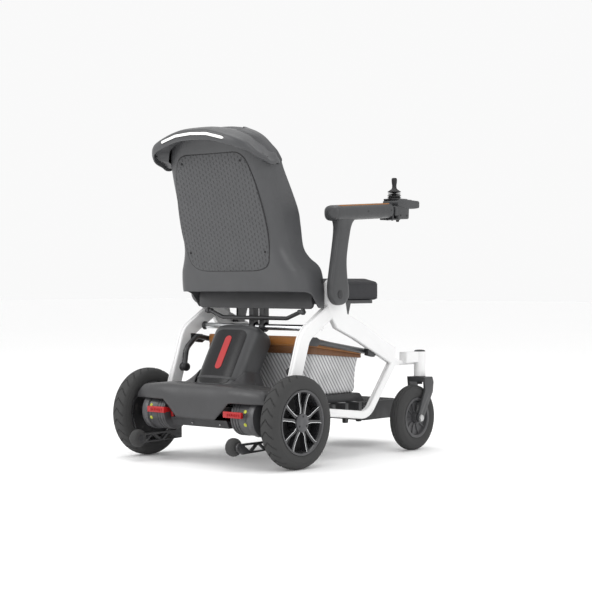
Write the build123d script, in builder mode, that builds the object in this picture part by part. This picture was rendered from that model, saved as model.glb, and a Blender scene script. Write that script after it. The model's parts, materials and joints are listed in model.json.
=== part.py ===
"""Rear-drive power wheelchair with a detachable battery, in millimetres.

The chair faces -Y, its left side is +X and +Z is up.  The origin is at the middle of the
chair's overall box, on the ground.  Places along the chair are given as a distance ahead
of the rear axle and turned into Y by ahead().
"""
import os

from build123d import *

os.makedirs("parts", exist_ok=True)

# ---------------------------------------------------------------- driving dimensions
FRONT_REACH = 735.0          # rear axle to the front edge of the footplate
REAR_REACH = 168.0           # rear axle to the back of the anti-tip rollers
SIDE_INNER = 222.0           # middle of the chair to a side frame's inner face
SIDE_TUBE = 20.0             # width of the side frame's tubes
WHEELBASE = 602.0            # rear axle to caster axle
TYRE_RADIUS = 130.0          # rear tyre
TYRE_WIDTH = 55.0
RIM_RADIUS = 90.0            # where the rear tyre sits
AXLE_RADIUS = 10.0           # rear axle shaft
CASTER_RADIUS = 100.0
CASTER_WIDTH = 44.0
CASTER_RIM_RADIUS = 61.0
CASTER_TRAIL = 39.0          # caster axle behind the swivel stem
STEM_RADIUS = 9.0
PIN_RADIUS = 4.0             # hinge pins of the footplate and the release bail
ARM_PIN_RADIUS = 8.0         # armrest hinge pin
BACK_PIN_RADIUS = 7.0        # backrest hinge pin
RUNNING = 0.05               # radial clearance of every shaft and pin
GAP = 0.5                    # clear space between parts that pass each other
PANEL_GAP = 1.5              # clear space between a seat part and the frame
SEAT_TOP = 519.0             # top of the cushion
SEAT_FLOOR = 462.5           # underside of the cushion
BATTERY_WIDTH = 170.0
BATTERY_DEPTH = 100.0
BATTERY_LENGTH = 212.0       # along its lean
BATTERY_LEAN = 30.0          # degrees forward from upright
BACK_WALL = 4.0

# ---------------------------------------------------------------- places worked out
AXLE_Y = (FRONT_REACH - REAR_REACH) / 2
AXLE_Z = TYRE_RADIUS
SIDE_CENTRE = SIDE_INNER + SIDE_TUBE / 2
SIDE_OUTER = SIDE_INNER + SIDE_TUBE
WHEEL_GAP = 20.5             # side frame to rear tyre
WHEEL_INNER = SIDE_OUTER + WHEEL_GAP
WHEEL_CENTRE = WHEEL_INNER + TYRE_WIDTH / 2
CASTER_X = SIDE_CENTRE + 18.0
STEM_AHEAD = WHEELBASE + CASTER_TRAIL
CASTER_SWING = 141.0         # radius the caster sweeps round its stem
FOOTPLATE_HALF = CASTER_X - CASTER_SWING - 5.0
BEAM_END = STEM_AHEAD - 96.0
SIDES = (("right", -1), ("left", 1))


def ahead(distance):
    """Y of a place the given distance ahead of the rear axle."""
    return AXLE_Y - distance


def side_points(points):
    """Turn (distance ahead, height) pairs into points of a side-view sketch."""
    return [(ahead(distance), height) for distance, height in points]


def side_plane(x):
    """Side-view sketch plane at the given X; it extrudes towards +X."""
    return Plane.YZ.offset(x)


def cross_plane(distance):
    """Rear-view sketch plane at a distance ahead of the axle; it extrudes forwards."""
    return Plane.XZ.offset(-ahead(distance))


# ---------------------------------------------------------------- side frames
HEAD_AHEAD = 235.0           # round head of the side beam, also the backrest hinge
HEAD_Z = 485.0
HEAD_RADIUS = 42.0
ARM_PIVOT_AHEAD = 215.0      # armrest hinge
ARM_PIVOT_Z = 484.0
ARM_PIN_LENGTH = 38.0
BACK_PIN_LENGTH = 12.0
BEAM_EDGE = 3.0              # rounding of the beam's long edges

BEAM_OUTLINE = (
    (193, 485), (206, 430), (243, 382), (330, 349), (BEAM_END - 24, 263), (BEAM_END, 262),
    (BEAM_END, 278), (BEAM_END - 22, 287), (BEAM_END - 18, 318), (BEAM_END - 75, 342),
    (423, 367), (370, 393), (292, 424), (277, 485),
)
beams = {}
for side, sign in SIDES:
    with BuildPart() as side_beam:
        with BuildSketch(side_plane(sign * SIDE_CENTRE)):
            Polygon(*side_points(BEAM_OUTLINE), align=None)
            with Locations((ahead(HEAD_AHEAD), HEAD_Z)):
                Circle(HEAD_RADIUS)
        extrude(amount=SIDE_TUBE / 2, both=True)
        long_edges = side_beam.edges().filter_by(GeomType.LINE).filter_by(Axis.X, reverse=True)
        chamfer(long_edges.filter_by(lambda edge: edge.length > 45), BEAM_EDGE)
        with BuildSketch(side_plane(sign * SIDE_OUTER)):
            with Locations((ahead(ARM_PIVOT_AHEAD), ARM_PIVOT_Z)):
                Circle(ARM_PIN_RADIUS)
        extrude(amount=sign * ARM_PIN_LENGTH)
        with BuildSketch(side_plane(sign * SIDE_INNER)):
            with Locations((ahead(HEAD_AHEAD), HEAD_Z)):
                Circle(BACK_PIN_RADIUS)
        extrude(amount=-sign * BACK_PIN_LENGTH)
    side_beam.part.label = f"{side}_side_beam"
    export_step(side_beam.part, f"parts/{side}_side_beam.step")
    beams[side] = side_beam.part

# ---------------------------------------------------------------- rear legs
LEG_DEPTH = 44.0
LEG_CORNER = 5.0
LEG_BEND = 60.0
LEG_FOOT = (31, 155)
LEG_KNEE = (102, 365)
LEG_HEAD = (232, 442)
GROOVE_WIDTH = 4.0
GROOVE_DEPTH = 2.0

legs = {}
for side, sign in SIDES:
    foot = Vector(sign * SIDE_CENTRE, ahead(LEG_FOOT[0]), LEG_FOOT[1])
    knee = Vector(sign * SIDE_CENTRE, ahead(LEG_KNEE[0]), LEG_KNEE[1])
    head = Vector(sign * SIDE_CENTRE, ahead(LEG_HEAD[0]), LEG_HEAD[1])
    with BuildPart() as rear_leg:
        with BuildLine() as leg_line:
            FilletPolyline(foot, knee, head, radius=LEG_BEND)
        with BuildSketch(Plane(foot, x_dir=(1, 0, 0), z_dir=knee - foot)):
            RectangleRounded(SIDE_TUBE, LEG_DEPTH, LEG_CORNER)
            with Locations((0, LEG_DEPTH / 2), (0, -LEG_DEPTH / 2)):
                Rectangle(GROOVE_WIDTH, 2 * GROOVE_DEPTH, mode=Mode.SUBTRACT)
        sweep()
        add(beams[side], mode=Mode.SUBTRACT)
    rear_leg.part.label = f"{side}_rear_leg"
    export_step(rear_leg.part, f"parts/{side}_rear_leg.step")
    legs[side] = rear_leg.part

# ---------------------------------------------------------------- front legs and bottom rails
RAIL_DEPTH = 24.0
RAIL_CORNER = 5.0
RAIL_BEND = 60.0
FRONT_LEG_TOP = (BEAM_END - 24, 274)
FRONT_LEG_FOOT = (393, 120)
RAIL_END = (36, 158)

rails = {}
for side, sign in SIDES:
    leg_top = Vector(sign * SIDE_CENTRE, ahead(FRONT_LEG_TOP[0]), FRONT_LEG_TOP[1])
    leg_foot = Vector(sign * SIDE_CENTRE, ahead(FRONT_LEG_FOOT[0]), FRONT_LEG_FOOT[1])
    rail_end = Vector(sign * SIDE_CENTRE, ahead(RAIL_END[0]), RAIL_END[1])
    with BuildPart() as front_leg:
        with BuildLine() as rail_line:
            FilletPolyline(leg_top, leg_foot, rail_end, radius=RAIL_BEND)
        with BuildSketch(Plane(leg_top, x_dir=(1, 0, 0), z_dir=leg_foot - leg_top)):
            RectangleRounded(SIDE_TUBE, RAIL_DEPTH, RAIL_CORNER)
            with Locations((0, RAIL_DEPTH / 2), (0, -RAIL_DEPTH / 2)):
                Rectangle(GROOVE_WIDTH, 2 * GROOVE_DEPTH, mode=Mode.SUBTRACT)
        sweep()
        add(beams[side], mode=Mode.SUBTRACT)
        add(legs[side], mode=Mode.SUBTRACT)
    front_leg.part.label = f"{side}_front_leg"
    export_step(front_leg.part, f"parts/{side}_front_leg.step")
    rails[side] = front_leg.part

# ---------------------------------------------------------------- crossbars
CROSSBEAM_RADIUS = 9.0
CROSSBEAM_PLACE = (173, 384)         # distance ahead, height
with BuildPart() as seat_crossbeam:
    with BuildSketch(side_plane(-SIDE_INNER)):
        with Locations((ahead(CROSSBEAM_PLACE[0]), CROSSBEAM_PLACE[1])):
            Circle(CROSSBEAM_RADIUS)
    extrude(amount=2 * SIDE_INNER)
seat_crossbeam.part.label = "seat_crossbeam"
export_step(seat_crossbeam.part, "parts/seat_crossbeam.step")

FOOT_HINGE_AHEAD = 530.0             # footplate hinge
FOOT_HINGE_Z = 135.0
HINGE_ARM_INNER = FOOTPLATE_HALF - 19.0
HINGE_ARM_WIDTH = 12.0
HINGE_ARM_RADIUS = 11.0
CROSSBAR_RADIUS = 9.0
CROSSBAR_PLACE = (404, 136)
with BuildPart() as front_crossbar:
    with BuildSketch(side_plane(-SIDE_INNER)):
        with Locations((ahead(CROSSBAR_PLACE[0]), CROSSBAR_PLACE[1])):
            Circle(CROSSBAR_RADIUS)
    extrude(amount=2 * SIDE_INNER)
    for side, sign in SIDES:
        with BuildSketch(side_plane(sign * (HINGE_ARM_INNER + HINGE_ARM_WIDTH / 2))):
            with BuildLine():
                Line((ahead(CROSSBAR_PLACE[0]), CROSSBAR_PLACE[1]), (ahead(FOOT_HINGE_AHEAD), FOOT_HINGE_Z))
            trace(line_width=2 * HINGE_ARM_RADIUS)
            with Locations((ahead(FOOT_HINGE_AHEAD), FOOT_HINGE_Z)):
                Circle(HINGE_ARM_RADIUS)
                Circle(PIN_RADIUS, mode=Mode.SUBTRACT)
        extrude(amount=HINGE_ARM_WIDTH / 2, both=True)
front_crossbar.part.label = "front_crossbar"
export_step(front_crossbar.part, "parts/front_crossbar.step")

# ---------------------------------------------------------------- caster mounts
MOUNT_TUBE_RADIUS = 8.0
MOUNT_TUBE_Z = 270.0
SLEEVE_RADIUS = 18.0
SLEEVE_BOTTOM = 226.0
SLEEVE_TOP = 302.0
BLOCK_BOTTOM = 278.0
BLOCK_HALF = 16.0
BLOCK_START = STEM_AHEAD - 76.0
STEM_TOP = SLEEVE_TOP - 8.0
for side, sign in SIDES:
    stem_place = (sign * CASTER_X, ahead(STEM_AHEAD))
    with BuildPart() as caster_mount:
        with BuildSketch(cross_plane(BEAM_END)):
            with Locations((sign * SIDE_CENTRE, MOUNT_TUBE_Z)):
                Circle(MOUNT_TUBE_RADIUS)
        extrude(amount=STEM_AHEAD - BEAM_END)
        with BuildSketch(Plane.XY.offset(SLEEVE_BOTTOM)):
            with Locations(stem_place):
                Circle(SLEEVE_RADIUS)
        extrude(amount=SLEEVE_TOP - SLEEVE_BOTTOM)
        with BuildSketch(Plane.XY.offset(BLOCK_BOTTOM - MOUNT_TUBE_RADIUS)):
            with Locations((sign * (SIDE_CENTRE + CASTER_X) / 2, ahead((BLOCK_START + STEM_AHEAD) / 2))):
                RectangleRounded(2 * BLOCK_HALF, STEM_AHEAD - BLOCK_START, 6)
        extrude(amount=SLEEVE_TOP - BLOCK_BOTTOM + MOUNT_TUBE_RADIUS)
        with BuildSketch(Plane.XY.offset(SLEEVE_BOTTOM)):
            with Locations(stem_place):
                Circle(STEM_RADIUS + RUNNING)
        extrude(amount=STEM_TOP - SLEEVE_BOTTOM, mode=Mode.SUBTRACT)
    caster_mount.part.label = f"{side}_caster_mount"
    export_step(caster_mount.part, f"parts/{side}_caster_mount.step")

# ---------------------------------------------------------------- casters
CROWN_BOTTOM = 209.0
CROWN_TOP = SLEEVE_BOTTOM - 2.0
CROWN_HALF_LENGTH = 21.0
FORK_ARM = 7.0
CASTER_SIDE_GAP = 4.0
FORK_INNER = CASTER_WIDTH / 2 + CASTER_SIDE_GAP
FORK_OUTER = FORK_INNER + FORK_ARM
CASTER_AXLE_RADIUS = 6.0
FORK_EYE_RADIUS = 14.0
STEM_NUT_RADIUS = 9.0
STEM_NUT_HEIGHT = 8.0
FORK_OUTLINE = (
    (STEM_AHEAD - 21, CROWN_TOP), (STEM_AHEAD + 21, CROWN_TOP), (STEM_AHEAD + 28, CROWN_TOP - 16),
    (STEM_AHEAD + 24, 178), (WHEELBASE + 40, 140), (WHEELBASE + 13, 95), (WHEELBASE - 13, 105),
    (WHEELBASE + 4, 145), (STEM_AHEAD - 16, 184),
)
for side, sign in SIDES:
    with BuildPart() as caster_fork:
        with BuildSketch(Plane.XY.offset(CROWN_BOTTOM)):
            with Locations((sign * CASTER_X, ahead(STEM_AHEAD))):
                RectangleRounded(2 * FORK_OUTER, 2 * CROWN_HALF_LENGTH, 6)
        extrude(amount=CROWN_TOP - CROWN_BOTTOM)
        for arm_side in (-1, 1):
            with BuildSketch(side_plane(sign * CASTER_X + arm_side * (FORK_INNER + FORK_ARM / 2))):
                with BuildLine():
                    Polyline(*side_points(FORK_OUTLINE), close=True)
                make_face()
                with Locations((ahead(WHEELBASE), CASTER_RADIUS)):
                    Circle(FORK_EYE_RADIUS)
                    Circle(CASTER_AXLE_RADIUS, mode=Mode.SUBTRACT)
            extrude(amount=FORK_ARM / 2, both=True)
        with BuildSketch(Plane.XY.offset(CROWN_BOTTOM - STEM_NUT_HEIGHT)):
            with Locations((sign * CASTER_X, ahead(STEM_AHEAD))):
                RegularPolygon(STEM_NUT_RADIUS, 6)
        extrude(amount=STEM_NUT_HEIGHT)
        with BuildSketch(Plane.XY.offset(CROWN_TOP)):
            with Locations((sign * CASTER_X, ahead(STEM_AHEAD))):
                Circle(STEM_RADIUS)
        extrude(amount=STEM_TOP - CROWN_TOP - GAP)
    caster_fork.part.label = f"{side}_caster_fork"
    export_step(caster_fork.part, f"parts/{side}_caster_fork.step")

AXLE_HEAD_RADIUS = 10.0
AXLE_HEAD = 5.0
for side, sign in SIDES:
    with BuildPart() as caster_axle:
        with BuildSketch(side_plane(sign * CASTER_X - FORK_OUTER)):
            with Locations((ahead(WHEELBASE), CASTER_RADIUS)):
                Circle(CASTER_AXLE_RADIUS)
        extrude(amount=2 * FORK_OUTER)
        for end in (-1, 1):
            with BuildSketch(side_plane(sign * CASTER_X + end * FORK_OUTER)):
                with Locations((ahead(WHEELBASE), CASTER_RADIUS)):
                    RegularPolygon(AXLE_HEAD_RADIUS, 6)
            extrude(amount=end * AXLE_HEAD)
    caster_axle.part.label = f"{side}_caster_axle"
    export_step(caster_axle.part, f"parts/{side}_caster_axle.step")

CASTER_HUB_RADIUS = 17.0
CASTER_HUB_HALF = CASTER_WIDTH / 2 + 2.5
CASTER_WEB = 12.0
CASTER_WEB_HOLES = 5
CASTER_HOLE_RADIUS = 11.0
CASTER_RIM_LIP = 9.0
for side, sign in SIDES:
    caster_centre = (sign * CASTER_X, ahead(WHEELBASE), CASTER_RADIUS)
    caster_plane = Plane(caster_centre, x_dir=(0, 1, 0), z_dir=(1, 0, 0))
    with BuildPart() as caster_rim:
        with BuildSketch(caster_plane):
            Circle(CASTER_RIM_RADIUS)
            Circle(CASTER_RIM_RADIUS - CASTER_RIM_LIP, mode=Mode.SUBTRACT)
        extrude(amount=CASTER_WIDTH / 2 - 2, both=True)
        with BuildSketch(caster_plane):
            Circle(CASTER_HUB_RADIUS)
        extrude(amount=CASTER_HUB_HALF, both=True)
        with BuildSketch(caster_plane):
            Circle(CASTER_RIM_RADIUS - CASTER_RIM_LIP)
            middle = (CASTER_RIM_RADIUS - CASTER_RIM_LIP + CASTER_HUB_RADIUS) / 2
            with PolarLocations(middle, CASTER_WEB_HOLES):
                Circle(CASTER_HOLE_RADIUS, mode=Mode.SUBTRACT)
        extrude(amount=CASTER_WEB / 2, both=True)
        with BuildSketch(caster_plane):
            Circle(CASTER_AXLE_RADIUS + RUNNING)
        extrude(amount=CASTER_HUB_HALF, both=True, mode=Mode.SUBTRACT)
    caster_rim.part.label = f"{side}_caster_rim"
    export_step(caster_rim.part, f"parts/{side}_caster_rim.step")

    with BuildPart() as caster_tyre:
        with BuildSketch(Plane(caster_centre, x_dir=(1, 0, 0), z_dir=(0, -1, 0))):
            with BuildLine():
                Polyline(
                    (-CASTER_WIDTH / 2 + 3, CASTER_RIM_RADIUS), (-CASTER_WIDTH / 2, 78),
                    (-CASTER_WIDTH / 2 + 4, 92), (-9, CASTER_RADIUS), (9, CASTER_RADIUS),
                    (CASTER_WIDTH / 2 - 4, 92), (CASTER_WIDTH / 2, 78),
                    (CASTER_WIDTH / 2 - 3, CASTER_RIM_RADIUS), close=True)
            make_face()
        revolve(axis=Axis(caster_centre, (1, 0, 0)))
    caster_tyre.part.label = f"{side}_caster_tyre"
    export_step(caster_tyre.part, f"parts/{side}_caster_tyre.step")

# ---------------------------------------------------------------- drive wheels
HUB_RADIUS = 25.0
HUB_OUTER = TYRE_WIDTH / 2 - 6.0
SPOKE_PAIRS = 5
SPOKE_WIDTH = 7.0
SPOKE_SPREAD = 22.0          # middle to middle across a pair
SPOKE_INNER_FACE = 4.0       # spokes' inner face, outboard of the wheel's middle
BARREL = 8.0                 # thickness of the rim's barrel
BARREL_HALF = TYRE_WIDTH / 2 - 3.0
AXLE_INNER = 200.0           # inner end of the axle, inside the gearbox
for side, sign in SIDES:
    wheel_centre = (sign * WHEEL_CENTRE, AXLE_Y, AXLE_Z)
    outward = Plane(wheel_centre, x_dir=(0, 1, 0), z_dir=(sign, 0, 0))
    with BuildPart() as wheel_rim:
        with BuildSketch(outward):
            Circle(RIM_RADIUS)
            Circle(RIM_RADIUS - BARREL, mode=Mode.SUBTRACT)
        extrude(amount=BARREL_HALF, both=True)
        with BuildSketch(outward.offset(-TYRE_WIDTH / 2)):
            Circle(HUB_RADIUS)
        extrude(amount=TYRE_WIDTH / 2 + HUB_OUTER)
        with BuildSketch(outward.offset(SPOKE_INNER_FACE)):
            with PolarLocations(0, SPOKE_PAIRS, start_angle=90):
                with Locations((RIM_RADIUS / 2, SPOKE_SPREAD / 2), (RIM_RADIUS / 2, -SPOKE_SPREAD / 2)):
                    Rectangle(RIM_RADIUS - BARREL, SPOKE_WIDTH)
        extrude(amount=HUB_OUTER - SPOKE_INNER_FACE)
        with BuildSketch(outward.offset(-TYRE_WIDTH / 2)):
            Circle(AXLE_RADIUS)
        extrude(amount=TYRE_WIDTH / 2 + HUB_OUTER - 6, mode=Mode.SUBTRACT)
    wheel_rim.part.label = f"{side}_wheel_rim"
    export_step(wheel_rim.part, f"parts/{side}_wheel_rim.step")

    with BuildPart() as wheel_tyre:
        half = TYRE_WIDTH / 2
        with BuildSketch(Plane(wheel_centre, x_dir=(1, 0, 0), z_dir=(0, -1, 0))):
            with BuildLine():
                Polyline(
                    (-half + 5, RIM_RADIUS), (-half, TYRE_RADIUS - 27), (-half + 1, TYRE_RADIUS - 15),
                    (-half + 7, TYRE_RADIUS - 5), (-10, TYRE_RADIUS), (10, TYRE_RADIUS),
                    (half - 7, TYRE_RADIUS - 5), (half - 1, TYRE_RADIUS - 15), (half, TYRE_RADIUS - 27),
                    (half - 5, RIM_RADIUS), close=True)
            make_face()
        revolve(axis=Axis(wheel_centre, (1, 0, 0)))
    wheel_tyre.part.label = f"{side}_wheel_tyre"
    export_step(wheel_tyre.part, f"parts/{side}_wheel_tyre.step")

    with BuildPart() as wheel_axle:
        with BuildSketch(side_plane(sign * AXLE_INNER)):
            with Locations((AXLE_Y, AXLE_Z)):
                Circle(AXLE_RADIUS)
        extrude(amount=sign * (WHEEL_CENTRE + HUB_OUTER - 6 - AXLE_INNER))
    wheel_axle.part.label = f"{side}_wheel_axle"
    export_step(wheel_axle.part, f"parts/{side}_wheel_axle.step")

# ---------------------------------------------------------------- drive unit: motors and chassis
MOTOR_BEHIND = 42.0          # motor axis behind the axle
MOTOR_RISE = 11.0            # and above it
MOTOR_RADIUS = 52.0
MOTOR_INNER = 130.0
MOTOR_OUTER = 195.0
GEARBOX_OUTER = SIDE_INNER - 5.0
GEARBOX_LOBE = 33.0
NOSE_RADIUS = 22.0
BRAKE_RADIUS = 19.5
BRAKE_INNER = 112.0
MOTOR_Z = AXLE_Z + MOTOR_RISE
for side, sign in SIDES:
    motor_place = (ahead(-MOTOR_BEHIND), MOTOR_Z)
    with BuildPart() as motor:
        with BuildSketch(side_plane(sign * MOTOR_INNER)):
            with Locations(motor_place):
                Circle(MOTOR_RADIUS)
        extrude(amount=sign * (MOTOR_OUTER - MOTOR_INNER))
        with BuildSketch(side_plane(sign * MOTOR_OUTER)):
            with Locations(motor_place):
                Circle(MOTOR_RADIUS + 3)
            with Locations((AXLE_Y, AXLE_Z)):
                Circle(GEARBOX_LOBE)
            make_hull()
        extrude(amount=sign * (GEARBOX_OUTER - MOTOR_OUTER))
        with BuildSketch(side_plane(sign * GEARBOX_OUTER)):
            with Locations((AXLE_Y, AXLE_Z)):
                Circle(NOSE_RADIUS)
        extrude(amount=sign * (WHEEL_INNER - 4 - GEARBOX_OUTER))
        with BuildSketch(side_plane(sign * BRAKE_INNER)):
            with Locations(motor_place):
                Circle(BRAKE_RADIUS)
        extrude(amount=sign * (MOTOR_INNER - BRAKE_INNER))
        with BuildSketch(side_plane(sign * (AXLE_INNER - GAP))):
            with Locations((AXLE_Y, AXLE_Z)):
                Circle(AXLE_RADIUS + RUNNING)
        extrude(amount=sign * (WHEEL_INNER - AXLE_INNER), mode=Mode.SUBTRACT)
    motor.part.label = f"{side}_motor"
    export_step(motor.part, f"parts/{side}_motor.step")

# Release lever: a ring round the brake housing with an arm and a tab behind the motor.
LEVER_RING_INNER = 116.0
LEVER_RING_WIDTH = 10.0
LEVER_RING_RADIUS = 29.0
LEVER_REACH = 67.0           # motor axis to the tab's back face
LEVER_TAB = 9.0
LEVER_TAB_HEIGHT = 17.0
LEVER_TAB_OUTER = 183.0
LEVER_RISE = 8.0             # tab's middle above the motor axis
LEVER_ARM_MIDDLE = (LEVER_REACH + LEVER_RING_RADIUS) / 2 - 2
for side, sign in SIDES:
    with BuildPart() as release_lever:
        with BuildSketch(side_plane(sign * LEVER_RING_INNER)):
            with Locations((ahead(-MOTOR_BEHIND), MOTOR_Z)):
                Circle(LEVER_RING_RADIUS)
            with Locations((ahead(-MOTOR_BEHIND - LEVER_ARM_MIDDLE), MOTOR_Z + LEVER_RISE)):
                Rectangle(LEVER_REACH - LEVER_RING_RADIUS + 4, LEVER_TAB_HEIGHT - 4)
            with Locations((ahead(-MOTOR_BEHIND), MOTOR_Z)):
                Circle(BRAKE_RADIUS + RUNNING, mode=Mode.SUBTRACT)
        extrude(amount=sign * LEVER_RING_WIDTH)
        with BuildSketch(side_plane(sign * LEVER_RING_INNER)):
            with Locations((ahead(-MOTOR_BEHIND - LEVER_REACH + LEVER_TAB / 2), MOTOR_Z + LEVER_RISE)):
                RectangleRounded(LEVER_TAB, LEVER_TAB_HEIGHT, 2)
        extrude(amount=sign * (LEVER_TAB_OUTER - LEVER_RING_INNER))
    release_lever.part.label = f"{side}_release_lever"
    export_step(release_lever.part, f"parts/{side}_release_lever.step")

# Chassis: a beam across the front of the motors whose ends meet the side frames.
CHASSIS_BACK = 12.0          # distance ahead of the beam's rear face
CHASSIS_FRONT = 54.0
CHASSIS_BOTTOM = 122.0
CHASSIS_TOP = 160.0
TIE_BACK = GEARBOX_LOBE + 3.0
with BuildPart() as drive_chassis:
    with BuildSketch(Plane.XY.offset(CHASSIS_BOTTOM)):
        with Locations((0, ahead((CHASSIS_BACK + CHASSIS_FRONT) / 2))):
            Rectangle(2 * (MOTOR_OUTER - GAP), CHASSIS_FRONT - CHASSIS_BACK)
        with Locations((0, ahead((TIE_BACK + CHASSIS_FRONT) / 2))):
            Rectangle(2 * SIDE_INNER, CHASSIS_FRONT - TIE_BACK)
    extrude(amount=CHASSIS_TOP - CHASSIS_BOTTOM)
drive_chassis.part.label = "drive_chassis"
export_step(drive_chassis.part, "parts/drive_chassis.step")

# ---------------------------------------------------------------- anti-tip arms and rollers
ROLLER_RADIUS = 25.5
ROLLER_Z = 66.0
ROLLER_WIDTH = 28.0
ROLLER_OUTER = 201.0
ROLLER_BEHIND = REAR_REACH - ROLLER_RADIUS
ROLLER_PIN = 5.0
ARM_THICKNESS = 8.0
TRUSS_INNER = ROLLER_OUTER + 1.5
TRUSS_TOP = 76.0
TRUSS_BOTTOM = 46.0
TRUSS_BAR = 6.0
TRUSS_BAYS = 4
TRUSS_ENDS = 40.0            # solid ends of the truss, both together
with BuildPart() as anti_tip_arms:
    for side, sign in SIDES:
        with BuildSketch(side_plane(sign * TRUSS_INNER)):
            with BuildLine():
                Polyline(*side_points((
                    (-ROLLER_BEHIND, TRUSS_BOTTOM + 6), (-ROLLER_BEHIND + 14, TRUSS_BOTTOM),
                    (CHASSIS_FRONT, TRUSS_BOTTOM + 6), (CHASSIS_FRONT, CHASSIS_BOTTOM),
                    (TIE_BACK, CHASSIS_BOTTOM), (TIE_BACK - 8, TRUSS_TOP),
                    (-ROLLER_BEHIND, TRUSS_TOP))), close=True)
            make_face()
            bay = (ROLLER_BEHIND + TIE_BACK - TRUSS_ENDS) / TRUSS_BAYS
            for number in range(TRUSS_BAYS):
                left = -ROLLER_BEHIND + TRUSS_ENDS / 2 + number * bay
                low, high = TRUSS_BOTTOM + TRUSS_BAR + 1, TRUSS_TOP - TRUSS_BAR
                tip, base = (high, low) if number % 2 else (low, high)
                with BuildLine():
                    Polyline(*side_points(((left, base), (left + bay * 1.5 - TRUSS_BAR, base),
                                           (left + bay * 0.75 - TRUSS_BAR / 2, tip))), close=True)
                make_face(mode=Mode.SUBTRACT)
        extrude(amount=sign * ARM_THICKNESS)
        with BuildSketch(side_plane(sign * TRUSS_INNER)):
            with Locations((ahead(-ROLLER_BEHIND), ROLLER_Z)):
                Circle(ROLLER_PIN + 7)
        extrude(amount=sign * ARM_THICKNESS)
        with BuildSketch(side_plane(sign * (TRUSS_INNER + ARM_THICKNESS))):
            with Locations((ahead(-ROLLER_BEHIND), ROLLER_Z)):
                Circle(ROLLER_PIN)
        extrude(amount=-sign * (ROLLER_WIDTH + ARM_THICKNESS))
anti_tip_arms.part.label = "anti_tip_arms"
export_step(anti_tip_arms.part, "parts/anti_tip_arms.step")

for side, sign in SIDES:
    with BuildPart() as anti_tip_roller:
        with BuildSketch(side_plane(sign * ROLLER_OUTER)):
            with Locations((ahead(-ROLLER_BEHIND), ROLLER_Z)):
                Circle(ROLLER_RADIUS)
                Circle(ROLLER_PIN + RUNNING, mode=Mode.SUBTRACT)
        extrude(amount=-sign * ROLLER_WIDTH)
        chamfer(anti_tip_roller.edges().filter_by(GeomType.CIRCLE).group_by(SortBy.RADIUS)[-1], 4)
    anti_tip_roller.part.label = f"{side}_anti_tip_roller"
    export_step(anti_tip_roller.part, f"parts/{side}_anti_tip_roller.step")

# ---------------------------------------------------------------- battery
# The battery leans forward; its own plane has local X along the chair's X, local Y towards
# the rear and its normal along the lean.
BATTERY_TILT = Vector(0, -1, 0).rotate(Axis.X, -(90 - BATTERY_LEAN))
BATTERY_REAR_BOTTOM = (-38, 215)     # rear face at the bottom: distance ahead, height
BATTERY_CORNER = 34.0
BATTERY_TOP_EDGE = 26.0
BATTERY_CLEAR = 2.0                  # battery to the well's rim
WELL_FLOOR = 3.0


def battery_plane(along):
    """Plane across the battery, a distance along its lean from its bottom."""
    corner = Vector(0, ahead(BATTERY_REAR_BOTTOM[0]), BATTERY_REAR_BOTTOM[1])
    across = Vector(1, 0, 0).cross(BATTERY_TILT)
    middle = corner + across * (BATTERY_DEPTH / 2) + BATTERY_TILT * along
    return Plane(middle, x_dir=(1, 0, 0), z_dir=BATTERY_TILT)


LATCH_ALONG = 104.0          # latch's middle from the battery's bottom
LATCH_WIDTH = 26.0
LATCH_HEIGHT = 34.0
LATCH_DEPTH = 9.0
LATCH_TRAVEL = 3.0
LATCH_FORWARD = 8.0          # latch's middle ahead of the battery's middle
latch_plane = battery_plane(LATCH_ALONG)
latch_side = Plane(latch_plane.origin + Vector(-BATTERY_WIDTH / 2, 0, 0) - latch_plane.y_dir * LATCH_FORWARD,
                   x_dir=latch_plane.y_dir, z_dir=(1, 0, 0))
with BuildPart() as battery_case:
    with BuildSketch(battery_plane(0)):
        RectangleRounded(BATTERY_WIDTH, BATTERY_DEPTH, BATTERY_CORNER)
    extrude(amount=BATTERY_LENGTH)
    top_face = battery_case.faces().sort_by(Axis((0, 0, 0), tuple(BATTERY_TILT)))[-1]
    fillet(top_face.edges(), BATTERY_TOP_EDGE)
    with BuildSketch(latch_side):
        Rectangle(LATCH_WIDTH + 2 * GAP, LATCH_HEIGHT + 2 * GAP)
    extrude(amount=LATCH_DEPTH + LATCH_TRAVEL + GAP, mode=Mode.SUBTRACT)
battery_case.part.label = "battery_case"
export_step(battery_case.part, "parts/battery_case.step")

with BuildPart() as battery_latch:
    with BuildSketch(latch_side):
        RectangleRounded(LATCH_WIDTH, LATCH_HEIGHT, 4)
    extrude(amount=LATCH_DEPTH)
    with BuildSketch(latch_side):
        with GridLocations(0, 7, 1, 4):
            Rectangle(LATCH_WIDTH - 6, 2.5)
    extrude(amount=1.5, mode=Mode.SUBTRACT)
battery_latch.part.label = "battery_latch"
export_step(battery_latch.part, "parts/battery_latch.step")

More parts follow.
